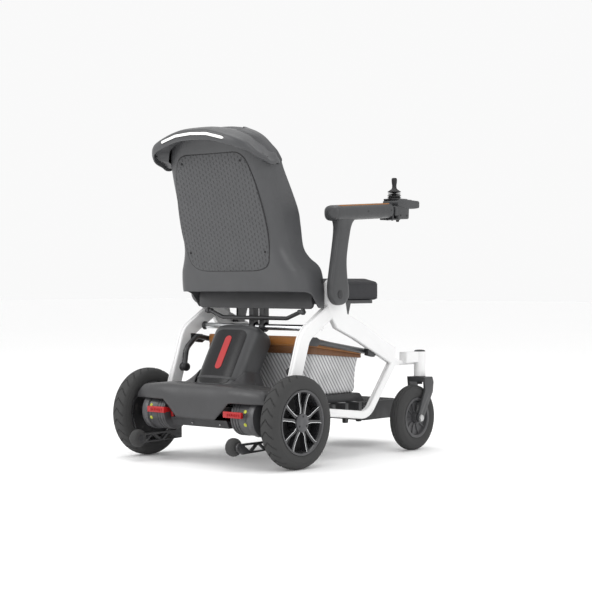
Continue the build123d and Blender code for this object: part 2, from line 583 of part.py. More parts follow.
# ---------------------------------------------------------------- drive cover and pan
COVER_WALL = 3.0
COVER_HALF = WHEEL_INNER - 12.0
COVER_BACK = -101.0
COVER_FRONT = 5.0
COVER_TOP = 226.0
COVER_LOW = 130.0
COVER_SIDE_LOW = 180.0
COVER_CUT_INNER = 76.0
COVER_CUT_OUTER = 126.0
BOSS_HALF = BATTERY_WIDTH / 2 + 30.0
BOSS_BACK = -88.0
BOSS_FRONT = 122.0
BOSS_TOP = 258.0
BOSS_LOW = 187.0
COVER_OUTLINE = (
    (COVER_BACK, COVER_LOW), (COVER_BACK, COVER_TOP - 18), (COVER_BACK + 14, COVER_TOP),
    (COVER_FRONT, COVER_TOP), (COVER_FRONT, COVER_LOW),
)
BOSS_OUTLINE = (
    (BOSS_BACK, BOSS_LOW), (BOSS_BACK, BOSS_TOP - 30), (BOSS_BACK + 36, BOSS_TOP),
    (BOSS_FRONT - 14, BOSS_TOP), (BOSS_FRONT, BOSS_TOP - 14), (BOSS_FRONT, BOSS_LOW),
)


def cover_body(inset):
    """The cover's outer form, or the space inside it when inset by the wall."""
    with BuildPart() as body:
        with BuildSketch(side_plane(0)):
            with BuildLine():
                Polyline(*side_points(COVER_OUTLINE), close=True)
            make_face()
            if inset:
                offset(amount=-inset, mode=Mode.REPLACE)
        extrude(amount=COVER_HALF - inset, both=True)
        with BuildSketch(side_plane(0)):
            with BuildLine():
                Polyline(*side_points(BOSS_OUTLINE), close=True)
            make_face()
            if inset:
                offset(amount=-inset, mode=Mode.REPLACE)
        extrude(amount=BOSS_HALF - inset, both=True)
    return body.part


cover_outside = cover_body(0)
cover_inside = cover_body(COVER_WALL)
with BuildPart() as drive_cover:
    add(cover_outside)
    add(cover_inside, mode=Mode.SUBTRACT)
    # The underside is open.
    with BuildSketch(Plane.XY.offset(COVER_LOW - 1)):
        with Locations((0, ahead((COVER_BACK + COVER_FRONT) / 2))):
            Rectangle(2 * (COVER_HALF - COVER_WALL), COVER_FRONT - COVER_BACK - 2 * COVER_WALL)
    extrude(amount=COVER_WALL + 2, mode=Mode.SUBTRACT)
    with BuildSketch(Plane.XY.offset(BOSS_LOW - 1)):
        with Locations((0, ahead((BOSS_BACK + BOSS_FRONT) / 2))):
            Rectangle(2 * (BOSS_HALF - COVER_WALL), BOSS_FRONT - BOSS_BACK - 2 * COVER_WALL)
    extrude(amount=COVER_WALL + 2, mode=Mode.SUBTRACT)
    # The front wall is open over the chassis beam, and the ends over the motors.
    with BuildSketch(cross_plane(COVER_FRONT - COVER_WALL - 1)):
        with Locations((0, (COVER_LOW + CHASSIS_TOP) / 2)):
            Rectangle(2 * COVER_HALF, CHASSIS_TOP + 2 - COVER_LOW)
    extrude(amount=COVER_WALL + 2, mode=Mode.SUBTRACT)
    for side, sign in SIDES:
        with BuildSketch(cross_plane(COVER_BACK - 1)):
            with BuildLine():
                Polyline(
                    (sign * COVER_CUT_INNER, COVER_LOW - 1), (sign * COVER_CUT_OUTER, COVER_SIDE_LOW),
                    (sign * (COVER_HALF + 1), COVER_SIDE_LOW), (sign * (COVER_HALF + 1), COVER_LOW - 1),
                    close=True)
            make_face()
        extrude(amount=COVER_FRONT - COVER_BACK + 2, mode=Mode.SUBTRACT)
        # Ends over the gearbox and the motor.
        with BuildSketch(side_plane(sign * (MOTOR_INNER - 3))):
            with Locations((ahead(-MOTOR_BEHIND), MOTOR_Z)):
                Circle(MOTOR_RADIUS + 5)
        extrude(amount=sign * (COVER_HALF - MOTOR_INNER + 4), mode=Mode.SUBTRACT)
    # Well for the battery.
    with BuildSketch(battery_plane(WELL_FLOOR)):
        RectangleRounded(BATTERY_WIDTH + 2 * BATTERY_CLEAR, BATTERY_DEPTH + 2 * BATTERY_CLEAR,
                         BATTERY_CORNER + BATTERY_CLEAR)
    extrude(amount=BATTERY_LENGTH, mode=Mode.SUBTRACT)
drive_cover.part.label = "drive_cover"
export_step(drive_cover.part, "parts/drive_cover.step")

PAN_HALF = BRAKE_INNER - 2.0
PAN_BOTTOM = 106.0
PAN_WALL = 3.0
PAN_BACK = -88.0
with BuildPart() as drive_pan:
    with BuildSketch(side_plane(0)):
        with BuildLine():
            Polyline(*side_points((
                (PAN_BACK, COVER_LOW - GAP), (PAN_BACK + 12, PAN_BOTTOM), (CHASSIS_BACK - GAP, PAN_BOTTOM),
                (CHASSIS_BACK - GAP, COVER_LOW - GAP))), close=True)
        make_face()
    extrude(amount=PAN_HALF, both=True)
    with BuildSketch(Plane.XY.offset(PAN_BOTTOM + PAN_WALL)):
        with Locations((0, ahead((PAN_BACK + 12 + CHASSIS_BACK) / 2))):
            Rectangle(2 * (PAN_HALF - PAN_WALL), CHASSIS_BACK - PAN_BACK - 12 - 2 * PAN_WALL)
    extrude(amount=COVER_LOW - PAN_BOTTOM, mode=Mode.SUBTRACT)
drive_pan.part.label = "drive_pan"
export_step(drive_pan.part, "parts/drive_pan.step")

# ---------------------------------------------------------------- basket
BASKET_HALF = SIDE_INNER - 22.0
BASKET_WALL = 2.5
BASKET_FLOOR = 186.0
BASKET_OUTLINE = ((165, BASKET_FLOOR), (166, 345), (412, 308), (392, BASKET_FLOOR))
with BuildPart() as basket_bag:
    with BuildSketch(side_plane(0)):
        with BuildLine():
            Polyline(*side_points(BASKET_OUTLINE), close=True)
        make_face()
    extrude(amount=BASKET_HALF, both=True)
    with BuildSketch(side_plane(0)):
        with BuildLine():
            Polyline(*side_points((
                (165 + BASKET_WALL, BASKET_FLOOR + BASKET_WALL), (166 + BASKET_WALL, 400),
                (412 - BASKET_WALL, 400), (412 - BASKET_WALL, 308),
                (392 - BASKET_WALL, BASKET_FLOOR + BASKET_WALL),
            )), close=True)
        make_face()
    extrude(amount=BASKET_HALF - BASKET_WALL, both=True, mode=Mode.SUBTRACT)
basket_bag.part.label = "basket_bag"
export_step(basket_bag.part, "parts/basket_bag.step")

BAND_WALL = 3.0
BAND_OUTLINE = ((163, 308), (163, 361), (180, 359), (418, 312), (418, 288), (400, 288))
with BuildPart() as basket_band:
    with BuildSketch(side_plane(0)):
        with BuildLine():
            Polyline(*side_points(BAND_OUTLINE), close=True)
        make_face()
    extrude(amount=BASKET_HALF + BAND_WALL, both=True)
    with BuildSketch(Plane.XY.offset(250)):
        with Locations((0, ahead((166 + 412) / 2))):
            Rectangle(2 * (BASKET_HALF - BASKET_WALL), 412 - 166 - 2 * BASKET_WALL)
    extrude(amount=200, mode=Mode.SUBTRACT)
    add(basket_bag.part, mode=Mode.SUBTRACT)
basket_band.part.label = "basket_band"
export_step(basket_band.part, "parts/basket_band.step")

BASE_BOTTOM = 161.0
with BuildPart() as basket_base:
    with BuildSketch(side_plane(0)):
        with BuildLine():
            Polyline(*side_points(((158, BASKET_FLOOR), (158, BASE_BOTTOM + 8), (166, BASE_BOTTOM),
                                   (380, BASE_BOTTOM), (424, BASE_BOTTOM - 5), (428, BASE_BOTTOM),
                                   (404, BASKET_FLOOR - 2),
                                   (392, BASKET_FLOOR))), close=True)
        make_face()
    extrude(amount=BASKET_HALF, both=True)
    add(front_crossbar.part, mode=Mode.SUBTRACT)
basket_base.part.label = "basket_base"
export_step(basket_base.part, "parts/basket_base.step")

TUBE_RADIUS = 8.0
TUBE_X = SIDE_INNER - TUBE_RADIUS - PANEL_GAP
TUBE_POINTS = ((75, 262), (84, 318), (128, 354), (168, 346), (406, 310))
TUBE_BENDS = (40, 34, 30)
HUB_DISC_RADIUS = 12.0
with BuildPart() as basket_rails:
    for side, sign in SIDES:
        tube_path = [Vector(sign * TUBE_X, ahead(place), height) for place, height in TUBE_POINTS]
        with BuildLine() as tube_line:
            FilletPolyline(*tube_path, radius=TUBE_BENDS)
        with BuildSketch(Plane(tube_path[0], x_dir=(1, 0, 0), z_dir=tube_path[1] - tube_path[0])):
            Circle(TUBE_RADIUS)
        sweep()
        with BuildSketch(side_plane(sign * (TUBE_X - TUBE_RADIUS))):
            with Locations((ahead(TUBE_POINTS[0][0]), TUBE_POINTS[0][1])):
                Circle(HUB_DISC_RADIUS)
        extrude(amount=sign * (SIDE_INNER - TUBE_X + TUBE_RADIUS))
basket_rails.part.label = "basket_rails"
export_step(basket_rails.part, "parts/basket_rails.step")

BRACKET_INNER = TUBE_X + TUBE_RADIUS - 1.0
BRACKET_WIDTH = 14.0
POST_PLACES = (232, 292, 356)
with BuildPart() as basket_brackets:
    for side, sign in SIDES:
        with BuildSketch(side_plane(sign * BRACKET_INNER)):
            with BuildLine():
                Polyline(*side_points(((112, 338), (112, 362), (160, 358), (172, 352), (172, 338),
                                       (160, 332))),
                         close=True)
            make_face()
            with BuildLine():
                Polyline(*side_points(((400, 298), (400, 322), (430, 322), (440, 300), (430, 292))),
                         close=True)
            make_face()
        extrude(amount=sign * BRACKET_WIDTH)
        for place in POST_PLACES:
            with BuildSketch(Plane.XY.offset(BASE_BOTTOM)):
                with Locations((sign * (BASKET_HALF - 6 + SIDE_CENTRE) / 2, ahead(place))):
                    Rectangle(SIDE_CENTRE - BASKET_HALF + 6 + 12, 14)
            extrude(amount=-(BASE_BOTTOM - 112))
        add(rails[side], mode=Mode.SUBTRACT)
        add(beams[side], mode=Mode.SUBTRACT)
        add(legs[side], mode=Mode.SUBTRACT)
    add(basket_rails.part, mode=Mode.SUBTRACT)
    # Posts stop on top of the bottom rails.
    for side, sign in SIDES:
        with BuildSketch(side_plane(sign * (BASKET_HALF - 20))):
            with BuildLine():
                Polyline(*side_points(((200, 100), (200, 134), (300, 127), (393, 122), (393, 100))),
                         close=True)
            make_face()
        extrude(amount=sign * 70, mode=Mode.SUBTRACT)
basket_brackets.part.label = "basket_brackets"
export_step(basket_brackets.part, "parts/basket_brackets.step")

# ---------------------------------------------------------------- seat
SEAT_HALF = SIDE_INNER - 15.0
SEAT_BACK = 166.0            # rear edge of the cushion
SEAT_FRONT = 483.0
TRAY_THICKNESS = 10.0
TRAY_INSET = 20.0            # tray's front edge behind the cushion's
PANEL_BACK = 150.0           # rear apron of the tray
PANEL_FRONT = 162.0
PANEL_TOP = 492.0
PANEL_BOTTOM = 439.0
PANEL_HALF = SIDE_INNER - GAP
TRAY_BOTTOM = SEAT_FLOOR - TRAY_THICKNESS
POST_X = 20.0
POST_HALF = 9.0
POST_BACK = 161.0            # posts straddle the crossbeam's upper half
POST_FRONT = 185.0
TAB_PLACE = (300, 330)       # tabs that carry the tray on the side beams
TAB_BOTTOM = 392.0
TAB_WIDTH = 8.0
BAIL_AHEAD = 153.0           # pivot of the release bail
BAIL_Z = 430.0
BAIL_X = 187.0
LUG_WIDTH = 8.0
LUG_RADIUS = 8.0
with BuildPart() as seat_tray:
    with BuildSketch(Plane.XY.offset(TRAY_BOTTOM)):
        with Locations((0, ahead((SEAT_BACK - 4 + SEAT_FRONT - TRAY_INSET) / 2))):
            RectangleRounded(2 * SEAT_HALF, SEAT_FRONT - TRAY_INSET - SEAT_BACK + 4, 12)
    extrude(amount=TRAY_THICKNESS)
    with BuildSketch(cross_plane(PANEL_BACK)):
        with Locations((0, (PANEL_BOTTOM + PANEL_TOP) / 2)):
            RectangleRounded(2 * PANEL_HALF, PANEL_TOP - PANEL_BOTTOM, 14)
    extrude(amount=PANEL_FRONT - PANEL_BACK)
    with BuildSketch(side_plane(0)):
        with BuildLine():
            Polyline(*side_points(((PANEL_FRONT, PANEL_BOTTOM + 8), (PANEL_FRONT, SEAT_FLOOR),
                                   (SEAT_BACK + 20, SEAT_FLOOR), (SEAT_BACK + 20, TRAY_BOTTOM))), close=True)
        make_face()
    extrude(amount=SEAT_HALF - 12, both=True)
    for side, sign in SIDES:
        # Post down to the crossbeam.
        with BuildSketch(side_plane(sign * POST_X)):
            with Locations((ahead((POST_BACK + POST_FRONT) / 2), (CROSSBEAM_PLACE[1] + 2 + TRAY_BOTTOM) / 2)):
                Rectangle(POST_FRONT - POST_BACK, TRAY_BOTTOM - CROSSBEAM_PLACE[1] - 2)
        extrude(amount=POST_HALF, both=True)
        # Tab onto the side beam.
        with BuildSketch(side_plane(sign * (SEAT_HALF - TAB_WIDTH))):
            with BuildLine():
                Polyline(*side_points(((TAB_PLACE[0], TRAY_BOTTOM), (TAB_PLACE[0], TAB_BOTTOM),
                                       (TAB_PLACE[1], TAB_BOTTOM), (TAB_PLACE[1] + 20, TRAY_BOTTOM))),
                         close=True)
            make_face()
        extrude(amount=sign * TAB_WIDTH)
        with BuildSketch(side_plane(sign * (SEAT_HALF - TAB_WIDTH))):
            with Locations((ahead(sum(TAB_PLACE) / 2), TAB_BOTTOM + 9)):
                Rectangle(TAB_PLACE[1] - TAB_PLACE[0], 18)
        extrude(amount=sign * (SIDE_INNER - SEAT_HALF + TAB_WIDTH))
        # Lug of the release bail.
        with BuildSketch(side_plane(sign * BAIL_X)):
            with Locations((ahead(BAIL_AHEAD), BAIL_Z)):
                Circle(LUG_RADIUS)
            with Locations((ahead(BAIL_AHEAD), (BAIL_Z + PANEL_BOTTOM) / 2)):
                Rectangle(2 * LUG_RADIUS - 6, PANEL_BOTTOM - BAIL_Z + 4)
            with Locations((ahead(BAIL_AHEAD), BAIL_Z)):
                Circle(PIN_RADIUS + RUNNING, mode=Mode.SUBTRACT)
        extrude(amount=LUG_WIDTH / 2, both=True)
    add(seat_crossbeam.part, mode=Mode.SUBTRACT)
seat_tray.part.label = "seat_tray"
export_step(seat_tray.part, "parts/seat_tray.step")

with BuildPart() as seat_cushion:
    with BuildSketch(Plane.XY.offset(SEAT_FLOOR)):
        with Locations((0, ahead((SEAT_BACK + SEAT_FRONT) / 2))):
            RectangleRounded(2 * SEAT_HALF, SEAT_FRONT - SEAT_BACK, 18)
    extrude(amount=SEAT_TOP - SEAT_FLOOR)
    fillet(seat_cushion.faces().sort_by(Axis.Z)[-1].edges(), 9)
seat_cushion.part.label = "seat_cushion"
export_step(seat_cushion.part, "parts/seat_cushion.step")

# Release bail: a bent tube hanging from the tray's lugs.
BAIL_TUBE = 6.0
BAIL_DROP = 19.0
BAIL_HALF = 126.0
BAIL_SIDE = BAIL_X - LUG_WIDTH / 2 - GAP - BAIL_TUBE
with BuildPart() as release_bail:
    with BuildLine() as bail_line:
        FilletPolyline(
            Vector(-BAIL_SIDE, ahead(BAIL_AHEAD), BAIL_Z),
            Vector(-BAIL_HALF, ahead(BAIL_AHEAD), BAIL_Z - BAIL_DROP),
            Vector(BAIL_HALF, ahead(BAIL_AHEAD), BAIL_Z - BAIL_DROP),
            Vector(BAIL_SIDE, ahead(BAIL_AHEAD), BAIL_Z), radius=25)
    with BuildSketch(Plane((-BAIL_SIDE, ahead(BAIL_AHEAD), BAIL_Z), x_dir=(0, 1, 0),
                           z_dir=(BAIL_SIDE - BAIL_HALF, 0, -BAIL_DROP))):
        Circle(BAIL_TUBE)
    sweep()
    for side, sign in SIDES:
        with BuildSketch(side_plane(sign * (BAIL_SIDE - BAIL_TUBE))):
            with Locations((ahead(BAIL_AHEAD), BAIL_Z)):
                Circle(BAIL_TUBE + 1)
        extrude(amount=sign * 2 * BAIL_TUBE)
        with BuildSketch(side_plane(sign * BAIL_SIDE)):
            with Locations((ahead(BAIL_AHEAD), BAIL_Z)):
                Circle(PIN_RADIUS)
        extrude(amount=sign * (BAIL_X - BAIL_SIDE + LUG_WIDTH))
release_bail.part.label = "release_bail"
export_step(release_bail.part, "parts/release_bail.step")

# ---------------------------------------------------------------- backrest
# The rear face is a plane that leans back; back_line() gives its distance ahead at a height.
BACK_SLOPE = 0.2773
BACK_REF = (-34.0, 857.0)


def back_line(height):
    """Distance ahead of the backrest's rear face at a height."""
    return BACK_REF[0] - BACK_SLOPE * (height - BACK_REF[1])


SHELL_BOTTOM = 440.0
SHELL_TOP = 962.0
SHELL_STATIONS = (           # height, half width
    (440, SIDE_INNER + 16), (500, SIDE_INNER + 14), (548, SIDE_INNER), (590, SIDE_INNER - 21),
    (640, SIDE_INNER - 30), (700, SIDE_INNER - 35), (770, SIDE_INNER - 34), (830, SIDE_INNER - 29),
    (880, SIDE_INNER - 36), (920, SIDE_INNER - 64), (948, SIDE_INNER - 110),
)
SHELL_CORNER = 42.0
SHELL_DEPTH = 200.0          # front of the wings, ahead of the axle
SHELL_FORWARD = 60.0         # the loft runs this far past the wings' front edges
WING_INNER = 98.0            # where the wings' lower edge meets the rear wall
WING_OUTLINE = (             # front edge of the wings and the shell's top, from the side
    (166, 440), (188, 454), (188, 552), (150, 588), (143, 660), (134, 720), (106, 770), (65, 830),
    (40, 878), (18, 920), (-2, 950), (-24, 962), (-55, 962),
)
SHELL_LOW_REAR = 488.0       # the rear wall ends here, over the tray's apron
EAR_INNER = SIDE_INNER - 13.0
EAR_OUTER = SIDE_INNER - PANEL_GAP
EAR_RADIUS = 16.0
EAR_ROOT = (176, 187)        # where the ears leave the wings, ahead of the axle
EAR_ROOT_HEIGHT = (480, 490, 528)
WEB_OUTER = SIDE_INNER + 13.0


def shell_loft(inset, forward):
    """Rounded tube along the backrest's height, inset by a wall on its rear and sides."""
    with BuildPart() as body:
        for height, half in SHELL_STATIONS:
            rear = back_line(height) + inset
            front = SHELL_DEPTH + forward
            with BuildSketch(Plane.XY.offset(height)):
                with Locations((0, ahead((rear + front) / 2))):
                    RectangleRounded(2 * (half - inset), front - rear, SHELL_CORNER - inset)
        loft(ruled=True)
    return body.part


VISOR_OUTLINE = (            # push handle's hood from the side: distance ahead, height
    (10, 838), (-20, 852), (-60, 874), (-100, 892), (-112, 902), (-114, 930), (-100, 938), (-62, 950),
    (-30, 960), (30, 900),
)
HAND_OUTLINE = (             # space for the hands under the hood
    (40, 700), (-109, 700), (-109, 925), (-96, 932), (-60, 944), (-26, 952),
)
VISOR_BACK = -114.0
VISOR_LENGTH = 300.0
VISOR_HALF = SIDE_INNER - 14.0
VISOR_WALL = 5.0
VISOR_CORNER = 88.0


def hood_block(outline, inset):
    """A side outline cut to the hood's rounded plan, inset by a wall."""
    with BuildPart() as block:
        with BuildSketch(side_plane(0)):
            with BuildLine():
                Polyline(*side_points(outline), close=True)
            make_face()
        extrude(amount=VISOR_LENGTH, both=True)
        with BuildSketch(Plane.XY.offset(SHELL_BOTTOM)):
            with Locations((0, ahead(VISOR_BACK + VISOR_LENGTH / 2))):
                RectangleRounded(2 * (VISOR_HALF - inset), VISOR_LENGTH - 2 * inset, VISOR_CORNER - inset)
        extrude(amount=2 * VISOR_LENGTH, mode=Mode.INTERSECT)
    return block.part


shell_outside = shell_loft(0, SHELL_FORWARD)
shell_inside = shell_loft(BACK_WALL, SHELL_FORWARD + 20)
hood_outside = hood_block(VISOR_OUTLINE, 0)
hand_space = hood_block(HAND_OUTLINE, VISOR_WALL) - shell_outside
with BuildPart() as back_shell:
    with BuildSketch(side_plane(0)):
        with BuildLine():
            Polyline(*side_points(WING_OUTLINE + (
                (back_line(SHELL_TOP), SHELL_TOP), (back_line(SHELL_LOW_REAR), SHELL_LOW_REAR),
                (WING_INNER, SHELL_BOTTOM))), close=True)
        make_face()
    extrude(amount=VISOR_LENGTH, both=True)
    add(shell_outside, mode=Mode.INTERSECT)
    add(hood_outside)
    add(shell_inside, mode=Mode.SUBTRACT)
    add(hand_space, mode=Mode.SUBTRACT)
    # Ears down to the backrest hinge.
    for side, sign in SIDES:
        with BuildSketch(side_plane(sign * EAR_INNER)):
            with Locations((ahead(HEAD_AHEAD), HEAD_Z)):
                Circle(EAR_RADIUS)
            with BuildLine():
                Polyline(*side_points((
                    (EAR_ROOT[1], EAR_ROOT_HEIGHT[0]), (EAR_ROOT[1], EAR_ROOT_HEIGHT[2]),
                    (EAR_ROOT[0], EAR_ROOT_HEIGHT[2]), (EAR_ROOT[0], EAR_ROOT_HEIGHT[0]))), close=True)
            make_face()
            make_hull()
            with Locations((ahead(HEAD_AHEAD), HEAD_Z)):
                Circle(BACK_PIN_RADIUS + RUNNING, mode=Mode.SUBTRACT)
        extrude(amount=sign * (EAR_OUTER - EAR_INNER))
        with BuildSketch(side_plane(sign * EAR_INNER)):
            with BuildLine():
                Polyline(*side_points((
                    (EAR_ROOT[1], EAR_ROOT_HEIGHT[1]), (EAR_ROOT[1], EAR_ROOT_HEIGHT[2]),
                    (EAR_ROOT[0], EAR_ROOT_HEIGHT[2]), (EAR_ROOT[0], EAR_ROOT_HEIGHT[1]))), close=True)
            make_face()
        extrude(amount=sign * (WEB_OUTER - EAR_INNER))
back_shell.part.label = "back_shell"
export_step(back_shell.part, "parts/back_shell.step")

# Rear panel, on the shell's rear face.
PANEL_THICKNESS = 3.0
PANEL_MIDDLE = 715.0         # height of the panel's local origin
back_normal = Vector(0, 1, -BACK_SLOPE).normalized()
panel_place = (0, ahead(back_line(PANEL_MIDDLE)), PANEL_MIDDLE)
panel_plane = Plane(panel_place, x_dir=(-1, 0, 0), z_dir=tuple(back_normal))
SCREW_RADIUS = 3.2
with BuildPart() as back_panel:
    with BuildSketch(panel_plane):
        with BuildLine():
            Polyline((-126, 174), (126, 174), (142, 140), (158, 60), (160, -90), (146, -172), (-146, -172),
                     (-160, -90), (-158, 60), (-142, 140), close=True)
        make_face()
        fillet(vertices(), 22)
        with Locations((116, 148), (-116, 148), (144, -120), (-144, -120)):
            Circle(SCREW_RADIUS, mode=Mode.SUBTRACT)
    extrude(amount=PANEL_THICKNESS)
back_panel.part.label = "back_panel"
export_step(back_panel.part, "parts/back_panel.step")

# Back pad, inside the shell.
PAD_SIDE_GAP = 10.0
PAD_REAR_GAP = 0.3
PAD_THICKNESS = 62.0
PAD_TOP = 925.0
PAD_BOTTOM = 536.0
with BuildPart() as back_pad:
    with BuildSketch(side_plane(0)):
        with BuildLine():
            Polyline(*side_points((
                (back_line(PAD_BOTTOM) + BACK_WALL + PAD_REAR_GAP, PAD_BOTTOM),
                (back_line(PAD_BOTTOM) + PAD_THICKNESS - 8, PAD_BOTTOM),
                (back_line(600) + PAD_THICKNESS + 6, 600), (back_line(700) + PAD_THICKNESS + 4, 700),
                (back_line(820) + PAD_THICKNESS - 8, 820), (back_line(900) + PAD_THICKNESS - 6, 900),
                (back_line(PAD_TOP) + PAD_THICKNESS - 22, PAD_TOP),
                (back_line(PAD_TOP) + BACK_WALL + PAD_REAR_GAP, PAD_TOP))), close=True)
        make_face()
    extrude(amount=300, both=True)
    add(shell_loft(PAD_SIDE_GAP, SHELL_FORWARD), mode=Mode.INTERSECT)
back_pad.part.label = "back_pad"
export_step(back_pad.part, "parts/back_pad.step")

# Lit strip let into the rear rim of the hood.
STRIP_HALF = 118.0
STRIP_MIDDLE = 917.0
STRIP_HEIGHT = 8.0
STRIP_THICKNESS = 4.0
with BuildPart() as handle_light_strip:
    with BuildSketch(cross_plane(VISOR_BACK - 2)):
        with Locations((0, STRIP_MIDDLE)):
            RectangleRounded(2 * STRIP_HALF, STRIP_HEIGHT, 2)
    extrude(amount=STRIP_THICKNESS)
    add(back_shell.part, mode=Mode.SUBTRACT)
handle_light_strip.part.label = "handle_light_strip"
export_step(handle_light_strip.part, "parts/handle_light_strip.step")

# ---------------------------------------------------------------- armrests
ARM_X = SIDE_OUTER + 28.0
PAD_WIDTH = 56.0
PAD_DEPTH = 34.0
PAD_CORNER = 12.0
PAD_LENGTH = 288.0
PAD_START = (168, 717)       # middle of the pad's rear end
PAD_TILT = 3.6               # degrees up towards the front
ARM_POST_HALF = 13.0
ARM_POST_FOOT = 31.0
ARM_BOSS_RADIUS = 14.0
ARM_POST_OUTLINE = (
    (174, 480), (172, 505), (177, 535), (193, 620), (200, 680), (196, 702), (300, 712), (270, 700),
    (257, 670), (250, 630), (232, 560), (232, 520), (236, 481),
)
pads = {}
for side, sign in SIDES:
    pad_place = (sign * ARM_X, ahead(PAD_START[0]), PAD_START[1])
    pad_along = tuple(Vector(0, -1, 0).rotate(Axis.X, -PAD_TILT))
    with BuildPart() as arm_pad:
        with BuildSketch(Plane(pad_place, x_dir=(1, 0, 0), z_dir=pad_along)):
            RectangleRounded(PAD_WIDTH, PAD_DEPTH, PAD_CORNER)
        extrude(amount=PAD_LENGTH)
        fillet(arm_pad.faces().sort_by(Axis.Y)[-1].edges(), 7)
    arm_pad.part.label = f"{side}_arm_pad"
    export_step(arm_pad.part, f"parts/{side}_arm_pad.step")
    pads[side] = arm_pad.part

    with BuildPart() as arm_post:
        with BuildSketch(side_plane(sign * ARM_X)):
            with BuildLine():
                Polyline(*side_points(ARM_POST_OUTLINE), close=True)
            make_face()
            with Locations((ahead(ARM_PIVOT_AHEAD - 10), ARM_PIVOT_Z - 3)):
                Circle(ARM_POST_FOOT)
        extrude(amount=ARM_POST_HALF, both=True)
        with BuildSketch(side_plane(sign * (ARM_X - ARM_POST_HALF))):
            with Locations((ahead(ARM_PIVOT_AHEAD), ARM_PIVOT_Z)):
                Circle(ARM_BOSS_RADIUS)
        extrude(amount=-sign * (ARM_X - ARM_POST_HALF - SIDE_OUTER - GAP))
        with BuildSketch(side_plane(sign * SIDE_OUTER)):
            with Locations((ahead(ARM_PIVOT_AHEAD), ARM_PIVOT_Z)):
                Circle(ARM_PIN_RADIUS + RUNNING)
        extrude(amount=sign * (ARM_PIN_LENGTH + GAP), mode=Mode.SUBTRACT)
        add(arm_pad.part, mode=Mode.SUBTRACT)
    arm_post.part.label = f"{side}_arm_post"
    export_step(arm_post.part, f"parts/{side}_arm_post.step")

# ---------------------------------------------------------------- joystick controller
CONTROL_HALF = 30.0
CONTROL_TOP = 768.0
CONTROL_OUTLINE = (
    (440, 700), (440, 716), (446, 752), (446, 766), (452, CONTROL_TOP), (570, CONTROL_TOP), (570, 745),
    (520, 741), (512, 737), (512, 700),
)
STICK_AHEAD = 481.0
STICK_Z = 759.0              # height of the stick's pivot
STICK_POCKET = 15.0
POCKET_FLOOR = 750.0
BUTTON_AHEAD = 540.0
BUTTON_OFFSET = 13.0
BUTTON_RADIUS = 7.0
BUTTON_BOTTOM = 763.5
BUTTON_TOP = 769.5
BUTTON_GAP = 0.3
BUTTON_SPACE = 2.0           # under a button
BUTTONS = (("power_button", 1), ("horn_button", -1))
with BuildPart() as controller_housing:
    with BuildSketch(side_plane(-ARM_X)):
        with BuildLine():
            Polyline(*side_points(CONTROL_OUTLINE), close=True)
        make_face()
    extrude(amount=CONTROL_HALF, both=True)
    fillet(controller_housing.edges().filter_by(Axis.Z).sort_by(Axis.Y)[:2], 10)
    with BuildSketch(Plane.XY.offset(POCKET_FLOOR)):
        with Locations((-ARM_X, ahead(STICK_AHEAD))):
            Circle(STICK_POCKET)
    extrude(amount=CONTROL_TOP - POCKET_FLOOR, mode=Mode.SUBTRACT)
    with BuildSketch(Plane.XY.offset(BUTTON_BOTTOM - BUTTON_SPACE)):
        with Locations((-ARM_X - BUTTON_OFFSET, ahead(BUTTON_AHEAD)),
                       (-ARM_X + BUTTON_OFFSET, ahead(BUTTON_AHEAD))):
            Circle(BUTTON_RADIUS + BUTTON_GAP)
    extrude(amount=CONTROL_TOP - BUTTON_BOTTOM + BUTTON_SPACE, mode=Mode.SUBTRACT)
    add(pads["right"], mode=Mode.SUBTRACT)
controller_housing.part.label = "controller_housing"
export_step(controller_housing.part, "parts/controller_housing.step")

for name, offset_sign in BUTTONS:
    with BuildPart() as button:
        with BuildSketch(Plane.XY.offset(BUTTON_BOTTOM)):
            with Locations((-ARM_X + offset_sign * BUTTON_OFFSET, ahead(BUTTON_AHEAD))):
                Circle(BUTTON_RADIUS)
        extrude(amount=BUTTON_TOP - BUTTON_BOTTOM)
        fillet(button.faces().sort_by(Axis.Z)[-1].edges(), 1)
    button.part.label = name
    export_step(button.part, f"parts/{name}.step")

stick_place = (-ARM_X, ahead(STICK_AHEAD))
BOOT_INNER = 13.5
BOOT_OUTER = 18.0
BOOT_HEIGHT = 8.0
with BuildPart() as joystick_boot:
    with BuildSketch(Plane.XY.offset(CONTROL_TOP)):
        with Locations(stick_place):
            Circle(BOOT_OUTER)
            Circle(BOOT_INNER, mode=Mode.SUBTRACT)
    extrude(amount=BOOT_HEIGHT)
    chamfer(joystick_boot.faces().sort_by(Axis.Z)[-1].outer_wire().edges(), 1.5)
joystick_boot.part.label = "joystick_boot"
export_step(joystick_boot.part, "parts/joystick_boot.step")

GIMBAL_INNER = 7.5
GIMBAL_OUTER = 12.0
GIMBAL_HALF = 3.0
with BuildPart() as joystick_gimbal:
    with BuildSketch(Plane.XY.offset(STICK_Z)):
        with Locations(stick_place):
            Circle(GIMBAL_OUTER)
            Circle(GIMBAL_INNER, mode=Mode.SUBTRACT)
    extrude(amount=GIMBAL_HALF, both=True)
joystick_gimbal.part.label = "joystick_gimbal"
export_step(joystick_gimbal.part, "parts/joystick_gimbal.step")

